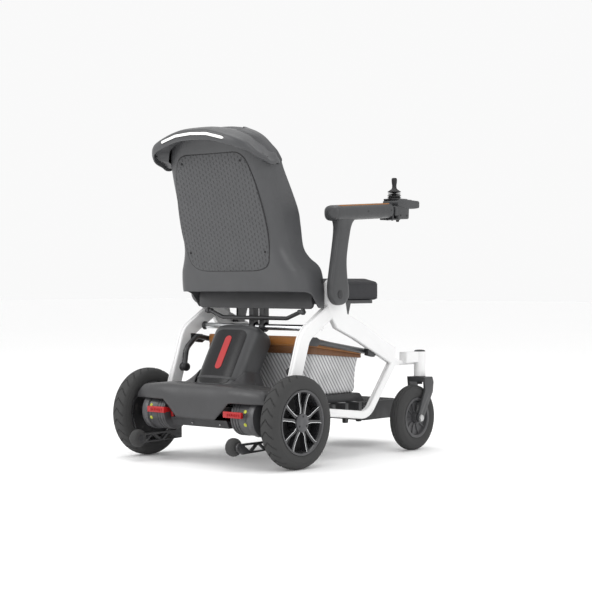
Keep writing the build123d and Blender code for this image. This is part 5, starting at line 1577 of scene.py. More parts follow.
        def rim(inset: float, height: np.ndarray) -> np.ndarray:
            """One row at an inset from the plan line."""
            return np.column_stack((plan + inward * inset, height))

        tall = top - low
        start = rim(9, top - 8)
        root = start.copy()
        root[:, 0] *= 0.86
        root[:, 1] = np.maximum(self.rear(root[:, 2]) + 1.0, root[:, 1])
        rows = [root, (root + start) / 2, start, rim(8, low + 5), rim(6.5, low + 1), rim(4, low),
                rim(1.6, low + 1.4),
                rim(0.3, low + 5), rim(0, low + tall * 0.5), rim(0.6, top - 7), rim(2.4, top - 3),
                rim(5.5, top - 0.6)]
        edge = rows[-1]
        for share in np.linspace(0.12, 0.94, 12):
            row = edge * (1 - share) + dip * share
            row[:, 2] += 7.5 * math.sin(math.pi * share)**0.8
            rows.append(row)
        rows += [dip, (dip * 0.5 + lip * 0.5) - (0, 0, 1.5), lip - (0, 1.5, 0.8), lip + (0, 1.5, 0.0),
                 lip + (0, 4, -2.5),
                 lip + (0, 4.5, -8), lip * (0.985, 1, 1) + (0, 1.5, -16)]
        grid = np.array(rows)
        # The rows are drawn a little smoother across.
        for _ in range(2):
            grid[13:-6] = (grid[12:-7] + 2 * grid[13:-6] + grid[14:-5]) / 4
        shape = self.facing(skin(spots(grid)), (0, -40, 900))
        self.shop.put("handle_hood", shape, SHELL, "backrest", (), "shell_plastic", outward=False)
        strip = plan[np.abs(plan[:, 0]) < 127]
        path = np.column_stack((strip - (0, 0.2),
                                np.interp(np.abs(strip[:, 0]), (0, 60, 127), (934.5, 931, 914.5))))
        band = carried(superellipse(0.0016, 0.0046, 4, 24), spots(path), (0, 0, 1), round_ends=True)
        self.shop.put("rim_strip", band, LAMP, "backrest", ("handle_light_strip",), "strip_plastic")
        # Painted shade: a black band just taller than the pale strip stands for the shaded inner wall of the
        # strip's slot.
        strip_shade_band = carried(superellipse(0.0014, 0.0058, 4, 24), spots(path), (0, 0, 1), round_ends=True)
        self.shop.put("rim_strip_bed", strip_shade_band, SEAM_AND_SHADE, "backrest")

    def hood_fittings(self) -> None:
        """Near-black blocks as painted shade in the pockets, and screws, along the underside of the hood's
        sides.
        """
        pocket_shades: list[Shape] = []
        heads: list[Shape] = []
        for sign in (-1, 1):
            # Painted shade: black blocks stand for the dark insides of the pockets.
            for ahead, height, x, long in ((-64, 884, 189, 5), (-40, 872, 196, 8), (-20, 864, 199, 5)):
                pocket_shades.append(block((sign * x - 4, ahead - long, height - 3),
                                     (sign * x + 4, ahead + long, height + 3), 2.4))
            heads += screw((sign * 197, -1, 856), (sign * 0.5, 0.3, -0.8), 5.0)
        self.shop.put("hood_pockets", together(pocket_shades), SEAM_AND_SHADE, "backrest")
        self.shop.put("hood_screws", together(heads), STEEL, "backrest")

    def panel(self) -> None:
        """Slotted panel flush with the rear face, the dark seam round it and its four screws."""
        corners = [(126, 171), (152, 95), (166, -10), (166, -88), (150, -158), (108, -172), (-108, -172),
                   (-150, -158),
                   (-166, -88), (-166, -10), (-152, 95), (-126, 171)]
        reach = (34, 40, 60, 50, 26, 30, 30, 26, 50, 60, 40, 34)
        outline = rounded(corners, reach, 9)
        outline[:, 1] += np.where(outline[:, 1] > 160, 5 * (1 - (outline[:, 0] / 126)**2), 0)
        rise = np.array((0.0, self.slope, 1.0)) / math.hypot(self.slope, 1.0)
        origin = (0, float(self.rear(715.0)), 715)
        seam = slab(outline * (1.012, 1.012), origin, (-1, 0, 0), rise,
                    [(4, -2), (0, -2), (0, 0.55), (0.4, 0.75), (3, 0.75)])
        self.shop.put("panel_seam", seam, SEAM_AND_SHADE, "backrest")
        face = slab(outline, origin, (-1, 0, 0), rise,
                    [(4, -2), (0, -2), (0, 1.0), (0.6, 1.6), (1.6, 1.9), (40, 2.3), (100, 2.5)])
        self.shop.put("rear_panel", face, PANEL, "backrest", ("back_panel",), "panel_plastic")
        out = np.cross((-1.0, 0.0, 0.0), rise)
        heads = []
        for x, z in ((114, 858), (-114, 858), (146, 602), (-146, 602)):
            heads += screw((x, self.rear(z) - 2.2, z), out, 3.6)
        self.shop.put("panel_screws", together(heads), SEAM_AND_SHADE, "backrest")

    def ears(self) -> None:
        """Hinge ears at the bottom of the wings, with bolt covers and a stop."""
        for side in Side:
            sign = side.value
            outline = rounded([(218, 470), (252, 470), (252, 500), (187, 528), (176, 528), (176, 482)],
                              (14, 14, 14, 4, 4, 8), 6)
            plate = side_slab(outline, sign * 214.7, 11, 1.5)
            web = block((sign * 222 - 13, 177, 492), (sign * 222 + 13, 187, 528), 2)
            self.shop.put(f"{side.word}_back_ear", together([plate, web]), DARK, "backrest")
            cover = turned([(0.001, 0), (11, 0), (11, 1.6), (8, 3), (0.001, 3.2)], (sign * 209.2, 235, 485),
                           (-sign, 0, 0), 40)
            self.shop.put(f"{side.word}_ear_bolt", cover, STEEL, "backrest")

    def loose(self, places: np.ndarray) -> np.ndarray:
        """Share of swelling in metres: none against the shell, all of it on the sitter's side."""
        depth = AXLE_AT - 1000 * places[:, 1] - self.rear(1000 * places[:, 2])
        return np.clip((depth - 38) / 14, 0, 1) * np.clip((184 - 1000 * np.abs(places[:, 0])) / 20, 0, 1)

    def pad(self) -> None:
        """Back pad stuffed inside the shell, with three seams across."""
        made = Upholsterer(self.shop, most=0.007).stuff("back_pad", "back_cushion", CLOTH, (-216, -80, 536),
                                                        (216, 135, 934), 0.0, "pad_cover", loose=self.loose)
        seams = []
        for height in (640.0, 760.0, 860.0):
            x = np.linspace(-150, 150, 60)
            front = self.rear(height) + np.interp(height, (600, 700, 820, 900), (68, 66, 54, 56)) + 0.6
            seams.append(carried(superellipse(0.0014, 0.0014, 2, 8),
                                 spots(np.stack((x, np.full(60, front), np.full(60, height)), 1)),
                                 (0, 0, 1)))
        self.shop.put("back_seams", together(seams), SEAM_AND_SHADE, "backrest")

    def build(self) -> None:
        """Make the backrest."""
        self.shell()
        self.hood()
        self.hood_fittings()
        self.panel()
        self.ears()
        self.pad()


# ---------------------------------------------------------------- seat
@dataclass
class Seat:
    """Cushion on its tray, with piping, knuckles, bolts and release bail.

    Attributes:
        shop: where the pieces go.
        half: half the cushion's width, in mm.
        back: its rear edge, ahead of the axle.
        front: its front edge.
        top: its height.
    """

    shop: Workshop
    half: float = 207.0
    back: float = 166.0
    front: float = 495.0
    top: float = 519.0

    def ring(self, height: float, out: float) -> np.ndarray:
        """Rounded rectangle round the cushion at a height, in mm, as a closed run of places."""
        outline = rounded([(-self.half - out, self.back - out), (self.half + out, self.back - out),
                           (self.half + out, self.front + out), (-self.half - out, self.front + out)], 24,
                           10)
        outline = np.vstack((outline, outline[:2]))
        return np.column_stack((outline, np.full(len(outline), height)))

    @staticmethod
    def loose(places: np.ndarray) -> np.ndarray:
        """Share of swelling: none at the sides, all of it 40 mm in from them."""
        plan = places[:, :2]
        inset = np.minimum(plan - plan.min(0), plan.max(0) - plan).min(1)
        return np.clip(inset / 0.04, 0, 1)

    def build(self) -> None:
        """Make the seat."""
        made = Upholsterer(self.shop).stuff("seat_cushion", "seat_cushion_stuffed", CLOTH,
                                            (-207.6, 165.2, 462.6),
                                            (207.6, 497, 527), 0.004, "cushion_cover", 1.036, self.loose)
        welt = [carried(superellipse(0.0013, 0.0013, 2, 10), evenly(spots(self.ring(z, -0.8)), 320),
                        (0, 0, 1))
                for z in (self.top - 9, 468.0)]
        self.shop.put("cushion_piping", together(welt), CLOTH, "frame")
        self.shop.soften("seat_tray", COVER, 0.003)
        self.shop.soften("release_bail", BLACK_PAINT, 0.0006)
        knuckles = []
        for x in (-20, 20):
            knuckles.append(turned([(9.1, -9), (14, -9), (15, -7), (15, 7), (14, 9), (9.1, 9), (9.1, -9)],
                                   (x, 173, 384), (1, 0, 0), 40))
        self.shop.put("tray_knuckles", together(knuckles), DARK, "frame")
        bolts = [h for side in Side for h in screw((side.value * 192, 153, 430), (side.value, 0, 0), 6.0)]
        bolts += [h for side in Side for h in screw((side.value * 187, 145, 430), (0, 1, 0), 6.0)]
        self.shop.put("tray_bolts", together(bolts), GREY_PAINT, "frame")


# ---------------------------------------------------------------- armrests
@dataclass
class Armrest:
    """Swing-up armrest: curved post, long body and a leather top.

    Attributes:
        shop: where the pieces go.
        side: which side of the chair.
        centre: X of its middle, in mm.
        start: rear end of the body: distance ahead and height of its middle.
        length: of the body.
        tilt: how far it rises towards the front.
    """

    shop: Workshop
    side: Side
    centre: float = 270.0
    start: tuple[float, float] = (168.0, 717.0)
    length: float = 288.0
    tilt: float = math.radians(3.6)
    stations: tuple = (
        (450.0, 203, 213, 3), (453, 192, 229, 8), (460, 183, 240, 11.5), (470, 175, 248, 12.8),
        (482, 171, 252, 13),
        (505, 169, 250, 13), (535, 174, 243, 13), (580, 183, 240, 13), (620, 191, 246, 13),
        (655, 197, 254, 13.4),
        (675, 199, 259, 14.5), (690, 197, 266, 17), (699, 191, 276, 20), (706, 184, 290, 22.5),
        (712, 180, 306, 23),
    )

    @property
    def body(self) -> str:
        """The CAD body it swings with."""
        return f"{self.side.word}_armrest"

    def post(self) -> None:
        """Post as stacked superellipses whose edges follow smooth curves of the height."""
        table = smooth_curve(self.stations, 90)
        ring = superellipse(1.0, 1.0, 4.6, 72)
        height, rear, front, half = (table[:, k][:, None] for k in range(4))
        x = self.side.value * self.centre + ring[None, :, 0] * half
        ahead = (rear + front) / 2 + ring[None, :, 1] * (front - rear) / 2
        grid = np.stack((x, ahead, np.broadcast_to(height, x.shape)), -1)
        self.shop.put(f"{self.side.word}_arm_post_skin", skin(spots(grid), ring=True, caps=True), SATIN,
                      self.body,
                      (f"{self.side.word}_arm_post",), "post_plastic")
        sign = self.side.value
        hub = turned([(8.3, 0), (14, 0), (14, 14.6), (8.3, 14.6), (8.3, 0)], (sign * 242.6, 215, 484),
                     (sign, 0, 0), 48)
        self.shop.put(f"{self.side.word}_arm_hub", hub, DARK, self.body)
        cap = turned([(0.001, 0), (12.5, 0), (12.5, 1.2), (10, 2.2), (0.001, 2.4)],
                     (sign * 282.8, 206, 481), (sign, 0, 0), 48)
        self.shop.put(f"{self.side.word}_arm_cap", cap, DARK, self.body)

    def line(self, rise: float, back: float = 0.0, cut: float = 0.0, count: int = 60) -> np.ndarray:
        """Places along the body at a rise above its middle line, in mm."""
        along = np.linspace(back, self.length - cut, count)
        return np.stack((np.full(count, self.side.value * self.centre),
                         self.start[0] + along * math.cos(self.tilt),
                         self.start[1] + rise + along * math.sin(self.tilt)), 1)

    def top(self) -> None:
        """Long rounded body with a soft leather inlay and two rows of stitches."""
        body = carried(superellipse(0.0278, 0.0226, 3.0, 56), spots(self.line(-4.6)), (0, 0, 1),
                       round_ends=True)
        made = self.shop.put(f"{self.side.word}_arm_body", body, SATIN, self.body,
                             (f"{self.side.word}_arm_pad",), "arm_leather")
        inlay = carried(superellipse(0.0205, 0.0036, 3.2, 44), spots(self.line(14.7, 18, 14)), (0, 0, 1),
                        round_ends=True)
        soft = self.shop.put(f"{self.side.word}_arm_leather", inlay, BROWN, self.body, (), "arm_leather")
        stitches = []
        for offset in (-17.0, 17.0):
            for place in self.line(17.9, 28, 26, 46):
                here = place + np.array((offset, 0.0, 0.0))
                ends = spots([here - (0, 2.0, 0), here + (0, 2.0, 0)])
                stitches.append(carried(superellipse(0.0005, 0.0004, 2, 6), ends, (0, 0, 1)))
        self.shop.put(f"{self.side.word}_arm_stitches", together(stitches), THREAD, self.body)
        sign = self.side.value
        heads = []
        for along in (150.0, 262.0):
            height = self.start[1] - 4 + along * math.sin(self.tilt)
            heads += screw((sign * (self.centre + 26.6), self.start[0] + along, height), (sign, 0, 0), 3.4)
            heads += screw((sign * (self.centre - 26.6), self.start[0] + along, height), (-sign, 0, 0), 3.4)
        self.shop.put(f"{self.side.word}_arm_screws", together(heads), SEAM_AND_SHADE, self.body)

    def build(self) -> None:
        """Make the armrest."""
        self.post()
        self.top()
        if self.side is Side.LEFT:
            plug = block((self.centre - 20, 450, 721), (self.centre + 20, 458, 748), 4)
            self.shop.put("left_arm_plug", plug, DARK, self.body)


@dataclass
class Controller:
    """Joystick unit on the right armrest.

    Attributes:
        shop: where the pieces go.
        centre: X of its middle, in mm.
        stick: distance ahead of the joystick.
        top: height of its upper face.
    """

    shop: Workshop
    centre: float = -270.0
    stick: float = 481.0
    top: float = 768.0

    def build(self) -> None:
        """Make the housing's fittings, the bellows, the stick and the buttons."""
        put = self.shop.put
        body = side_slab(rounded([(500, 738), (540, 737), (571, 741), (571, 762), (472, 765.5), (461, 760),
                                  (461, 744)],
                                 (8, 12, 5, 6, 8, 6, 8)), self.centre, 59, 3)
        lower = side_slab(rounded([(466, 704), (519, 706), (521, 748), (464, 748)], (4, 5, 6, 6)),
                          self.centre, 55, 3)
        front = block((self.centre - 27, 452, 714), (self.centre + 27, 474, 744), 4)
        put("controller_body", together([body, lower, front]), SATIN, "right_armrest",
            ("controller_housing",), "controller_plastic")
        pivot = (self.centre, self.stick, 0.0)
        profile = [(13.6, 765), (21, 765), (21.4, 767), (17.6, 768.4), (17.4, 769.6), (21, 771),
                   (20.6, 772), (17, 773.2), (17, 774.6),
                   (20.8, 776), (20.4, 777), (13.6, 777.2), (13.6, 765)]
        put("bellows_base", turned(profile, pivot, (0, 0, 1), 56), SOFT_BLACK, "right_armrest",
            ("joystick_boot",), "boot_rubber")
        ring = [(6.6, 778.4), (16.5, 779.2), (19.6, 780.8), (19.2, 781.8), (16, 782), (6.6, 781.6),
                (6.6, 778.4)]
        put("bellows_ring", turned(ring, pivot, (0, 0, 1), 56), SOFT_BLACK, "joystick_gimbal")
        self.shop.dress(DARK, "joystick_gimbal")
        knob = [(0.001, 753), (5.5, 756), (5.9, 760), (4, 765), (4, 783), (14, 784.6), (20, 786.2),
                (20.2, 787.6), (17, 789.8),
                (9.6, 795), (6.8, 799), (6.6, 806), (7.4, 812), (8.2, 818), (8.2, 825), (7.2, 828),
                (5, 829), (0.001, 829.2)]
        put("joystick_knob", turned(knob, pivot, (0, 0, 1), 56), SOFT_BLACK, "joystick",
            ("joystick_stick",), "stick_plastic")
        for name, offset in (("power_button", -13), ("horn_button", 13)):
            cap = turned([(0.001, 757), (6.9, 757), (6.9, 764.4), (6.2, 765.3), (4, 765.1), (0.001, 764.9)],
                         (self.centre + offset, 540, 0), (0, 0, 1), 40)
            put(f"{name}_cap", cap, DARK, name, (name,), "button_plastic")
        face = block((self.centre - 21, 506, 763.4), (self.centre + 21, 528, 765.2), 0.8)
        put("controller_display", face, GLOSS, "right_armrest")
        lamps = [block((self.centre - 15 + 8 * n, 514, 765), (self.centre - 10 + 8 * n, 516.4, 765.6), 0.25)
                 for n in range(4)]
        put("controller_lamps", together(lamps), LAMP, "right_armrest")
        plate = block((self.centre - 27, 461, 762), (self.centre + 27, 514, 766.4), 4)
        put("stick_plate", plate, DARK, "right_armrest")
        clamp = [block((self.centre - 24, 440, 702), (self.centre + 24, 480, 706), 1.8)]
        clamp += [block((self.centre - 24, a, 704), (self.centre + 24, a + 7, 716), 2) for a in (440, 462)]
        put("controller_clamp", together(clamp), DARK, "right_armrest")
        bolts = [s for ahead in (447, 471) for s in screw((self.centre, ahead, 702), (0, 0, -1), 3.4)]
        bolts += [s for ahead in (476, 508)
                  for s in screw((self.centre - 27.4, ahead, 716), (-1, 0, 0), 2.4)]
        put("controller_bolts", together(bolts), SEAM_AND_SHADE, "right_armrest")
        gland = turned([(0.001, 0), (5, 0), (5, 5), (3.8, 8), (0.001, 8)], (self.centre + 6, 506, 706),
                       (0, 0, -1), 32)
        put("cable_gland", gland, SOFT_BLACK, "right_armrest")


# ---------------------------------------------------------------- drive unit
@dataclass
class DriveUnit:
    """Moulded cover with a well for the battery, motors, release levers and anti-tip rollers.

    Attributes:
        shop: where the pieces go.
        back: rear face of the cover, ahead of the axle, in mm.
        top: height of its upper face.
        low: lower edge of its rear skirt in the middle.
        side_low: and towards the wheels.
        half: half its width.
    """

    shop: Workshop
    back: float = -101.0
    top: float = 226.0
    low: float = 130.0
    side_low: float = 180.0
    half: float = 250.0

    def section(self, x: float) -> np.ndarray:
        """The cover's section at an X, from its rear skirt over the top to its front edge."""
        away = abs(x)
        low = float(np.interp(away, (0, 74, 128, 300), (self.low, self.low, self.side_low, self.side_low)))
        rear = self.back + 16 * max(0.0, (away - 140) / 110)**2
        end = math.sqrt(max(1 - max(0.0, (away - 226) / 24.0)**2, 0.0))
        top = (self.top - 10 * float(np.clip((away - 120) / 130, 0, 1))**2 - low) * end + low
        well = float(np.clip((92 - away) / 4, 0, 1))
        floor = top - well * 20
        front = top - well * 47
        corners = [(rear + 1.5, low - 0.5), (rear, low + (top - low) * 0.12),
                   (rear + 2, low + (top - low) * 0.68),
                   (rear + 15, top), (-53, top), (-46 + 3 * well, floor), (4, front),
                   (5, min(front - 8, 164) * end + low * (1 - end))]
        return rounded(corners, (0.01, 8, 26, 16, 6, 5, 7, 0.01), 7)

    def cover(self) -> None:
        """Cover as a grid, X by section, and the raised ring round the battery's well.

        The ring's rows run from the well's inner wall over a rolled lip and fall in a hollow
        curve to an outer line: height = outer + (rim - outer)(1 - s)^1.7.
        """
        across = np.concatenate((np.linspace(-250, -226, 12), np.linspace(-222, -96, 34),
                                 np.linspace(-93, -87, 7),
                                 np.linspace(-84, 84, 40), np.linspace(87, 93, 7), np.linspace(96, 222, 34),
                                 np.linspace(226, 250, 12)))
        grid = np.array([np.column_stack((np.full(56, x), self.section(x))) for x in across])
        body = Backrest.facing(skin(spots(grid)), (0, -45, 150))
        self.shop.put("cover_skin", body, COVER, "frame", ("drive_cover",), "cover_plastic", wall=0.0028,
                      outward=False)
        angle = np.linspace(0, 2 * np.pi, 144, endpoint=False)
        c, s = np.cos(angle), np.sin(angle)
        shape = np.sign(c) * np.abs(c)**(2 / 4.2), np.sign(s) * np.abs(s)**(2 / 4.2)
        flank = np.abs(shape[0])
        peak = np.clip((shape[1] + 1.0) / 0.5, 0, 1)
        rim = 226 + 36 * (peak * peak * (3 - 2 * peak)) * (0.55 + 0.45 * flank) * (1 - 0.35
                * np.clip((shape[1] + 0.4) / 1.4, 0, 1))
        lean = math.tan(math.radians(30))
        middle = -38 + (rim - 215) * lean + 57.7
        inner = np.stack((shape[0] * 87.5, middle + shape[1] * 60.2), 1)
        outer = np.stack((shape[0] * (118 + 12 * (1 - np.abs(shape[1]))), 14 + shape[1] * 104), 1)
        outer[:, 1] = np.where(outer[:, 1] < 0, outer[:, 1] * 0.86, outer[:, 1])
        foot = np.where(shape[1] > 0.2, 196, 223.5)
        rows = []
        for drop, out in ((26, -0.6), (10, -0.6), (2.6, -0.2), (0.7, 0.8), (0, 2.4)):
            ring = inner + np.stack((shape[0], shape[1]), 1) * out
            ring[:, 1] -= drop * lean
            rows.append(np.column_stack((ring, rim - drop)))
        for share in np.linspace(0.08, 1, 16):
            ring = (inner + np.stack((shape[0], shape[1]), 1) * 2.4) * (1 - share) + outer * share
            rows.append(np.column_stack((ring, foot + (rim - foot) * (1 - share)**1.7 - 0.3 * share)))
        last = rows[-1].copy()
        last[:, 2] = np.where(shape[1] > 0.2, 188, last[:, 2] - 2.5)
        rows.append(last)
        ring_shape = Backrest.facing(skin(spots(np.array(rows)), ring=True), (0, 18, 120))
        self.shop.put("battery_well", ring_shape, COVER, "frame", (), "cover_plastic", outward=False)
        self.shop.soften("drive_pan", DARK, 0.002)
        heads = [h for x in (-84, 24) for h in screw((x, -86, 116), (0, 0.6, -0.8), 2.4)]
        heads += [h for x in (-222, -110, 110, 222)
                  for h in screw((x, -96.5 + (abs(x) > 200) * 9, 190), (0, 1, 0), 2.6)]
        self.shop.put("cover_screws", together(heads), STEEL, "frame")

    def motor(self, side: Side) -> None:
        """Motor with its bands, two round marks and a plate, its release lever and its roller."""
        sign, word = side.value, side.word
        self.shop.soften(f"{word}_motor", GREY_PAINT, 0.0012)
        axis = (sign, 0, 0)
        bands = [turned([(51, -w), (52.9, -w + 0.6), (52.9, w - 0.6), (51, w), (51, -w)],
                        (sign * x, -42, 141), axis, 96)
                 for x, w in ((136, 2.4), (147, 1.6), (158, 1.6), (193, 2.2))]
        self.shop.put(f"{word}_motor_bands", together(bands), BLACK_PAINT, "frame")
        dots = []
        for rise in (-18.0, 18.0):
            reach = math.sqrt(52.0**2 - rise**2)
            dots.append(turned([(0.001, -1), (5.2, -1), (5.2, 0.7), (4.4, 1.1), (0.001, 1.1)],
                               (sign * 184, -42 - reach, 141 + rise), (0, reach, rise), 32))
        self.shop.put(f"{word}_motor_marks", together(dots), YELLOW, "frame")
        angle = np.radians(np.linspace(-11, 11, 8))
        plate = np.array([[(sign * x, -42 - 52.5 * math.cos(a), 141 + 52.5 * math.sin(a))
                           for x in (180.5, 187.5)]
                          for a in angle])
        self.shop.put(f"{word}_motor_plate", Backrest.facing(skin(spots(plate)), (sign * 184, -42, 141)),
                      HUB_GREY, "frame",
                      wall=0.0006, outward=False)
        self.shop.soften(f"{word}_release_lever", RED, 0.0022)
        grips = [block((sign * 150 - 26 + 7 * n, -112, 145), (sign * 150 - 23 + 7 * n, -110, 153), 1)
                 for n in range(7)]
        self.shop.put(f"{word}_lever_grips", together(grips), RED, f"{word}_release_lever")
        crown = smooth_curve([(5.2, -14), (13, -14), (19, -13), (23.4, -9.6), (25.3, -3), (25.3, 3),
                              (23.4, 9.6), (19, 13),
                              (13, 14), (5.2, 14)], 60)
        roller = turned(np.vstack((crown, crown[:1])), (sign * 187, -142.5, 66), axis, 72)
        self.shop.put(f"{word}_roller", roller, TYRE, f"{word}_anti_tip_roller",
                      (f"{word}_anti_tip_roller",), "roller_rubber")
        discs = [turned([(0.001, 0), (11, 0), (11, 1.4), (8, 2.4), (4, 1.2), (0.001, 1.2)],
                        (sign * 173.4, -142.5, 66), (-sign, 0, 0), 40)]
        discs += screw((sign * 213, -142.5, 66), axis, 5.0)
        self.shop.put(f"{word}_roller_bolt", together(discs), DARK, "frame")

    def build(self) -> None:
        """Make the drive unit."""
        self.cover()
        for side in Side:
            self.motor(side)


@dataclass
class Battery:
    """Lift-out battery that leans forward in its well.

    Attributes:
        shop: where the pieces go.
        half: half its width and half its depth, in mm.
        length: along its lean.
        dome: radius of its top edges.
        foot: distance ahead and height of the middle of its bottom.
    """

    shop: Workshop
    half: tuple[float, float] = (86.0, 53.0)
    length: float = 214.0
    dome: float = 27.0
    foot: tuple[float, float] = (7.8, 189.0)
    lean: float = math.radians(30.0)

    def inset(self, along: Any) -> Any:
        """How far the sides have pulled in at a distance along the lean: dome (1 - sqrt(1 - t^2))."""
        t = np.clip((along - (self.length - self.dome)) / self.dome, 0, 1)
        return self.dome * 0.92 * (1 - np.sqrt(1 - t * t * 0.985))

    def surface(self, around: Any, along: Any, lift: float = 0.0) -> np.ndarray:
        """Places on the case: around runs round its section from 0 to 1, from the middle of the rear face.

        The section is |u/w|^p + |v/d|^p = 1 with p = 3.6.

        Args:
            around: share of a turn.
            along: distance from the bottom in mm.
            lift: how far off the case.

        Returns:
            Places in metres.
        """
        turn = np.asarray(around) * 2 * np.pi
        c, s = np.cos(turn), np.sin(turn)
        pull = self.inset(along)
        u = np.sign(s) * np.abs(s)**(2 / 3.6) * (self.half[0] - pull + lift)
        v = np.sign(c) * np.abs(c)**(2 / 3.6) * (self.half[1] - pull + lift)
        ahead = self.foot[0] - v * math.cos(self.lean) + along * math.sin(self.lean)
        height = self.foot[1] + v * math.sin(self.lean) + along * math.cos(self.lean)
        return spots(np.stack(np.broadcast_arrays(u, ahead, height), -1))

    def patch(self, low: float, high: float, half: float, corner: float, lift: float) -> Shape:
        """A round-cornered patch that follows the rear face.

        Args:
            low: where it starts, along the lean.
            high: where it ends.
            half: half its width in mm across the face.
            corner: radius of its corners.
            lift: how far off the case.

        Returns:
            A shell with its edge turned in.
        """
        along = np.linspace(low, high, 60)
        near = np.minimum(along - low, high - along)
        pull = np.clip(1 - near / corner, 0, 1)
        wide = half - corner * (1 - np.sqrt(1 - pull**2))
        share = np.linspace(-1, 1, 40)
        u = np.clip(wide[:, None] * share[None, :], -self.half[0] + 1, self.half[0] - 1)
        around = np.arcsin(np.sign(u) * (np.abs(u) / self.half[0])**1.8) / (2 * np.pi)
        rows = np.broadcast_to(along[:, None], u.shape)
        top = self.surface(around, rows, lift)
        under = self.surface(around, rows, -1.5)
        grid = np.concatenate((under[:, :1], top, under[:, -1:]), 1)
        grid = np.concatenate((under[:1, [0, *range(40), 39]], grid, under[-1:, [0, *range(40), 39]]), 0)
        return grid.reshape(-1, 3), skin(grid)[1]

    def build(self) -> None:
        """Make the case, its face, its stripe, the collar, the latch, the side lines and the grip."""
        around = np.linspace(0, 1, 120, endpoint=False)
        steps = np.concatenate((np.linspace(0, self.length - self.dome, 30),
                                self.length - self.dome + self.dome * np.sin(np.linspace(0.04, np.pi / 2,
                                        16))))
        grid = np.array([self.surface(around, a) for a in steps])
        self.shop.put("battery_body", skin(grid, ring=True, caps=True), SATIN, "battery", ("battery_case",),
                      "battery_plastic")
        self.shop.put("battery_face_seam", self.patch(13, 189, 61.5, 24, 0.35), SEAM_AND_SHADE, "battery")
        self.shop.put("battery_face", self.patch(15, 187, 59.5, 22, 0.8), GLOSS, "battery")
        self.shop.put("battery_stripe", self.patch(60, 168, 11.5, 11.4, 1.9), RED, "battery")
        collar = np.array([self.surface(around, a, lift) for a,
                           lift in ((30, -0.5), (30, 1.0), (31, 1.5), (37, 1.5), (38, 1.0), (38, -0.5))])
        self.shop.put("battery_collar", skin(collar, ring=True, loop=True), DARK, "battery")
        self.shop.soften("battery_latch", DARK, 0.0008)
        grooves = [np.array([self.surface(np.linspace(a - 0.0022, a + 0.0022, 4), t, 0.25)
                             for t in np.linspace(60, 176, 20)])
                   for a in (0.285, 0.215)]
        self.shop.put("battery_side_lines",
                      together([Backrest.facing(skin(g), (0, 60, 280)) for g in grooves]), SEAM_AND_SHADE, "battery",
                      wall=0.0004, outward=False)
        grip = block((-38, 97, 366), (38, 112, 371), 4)
        self.shop.put("battery_grip", grip, DARK, "battery")


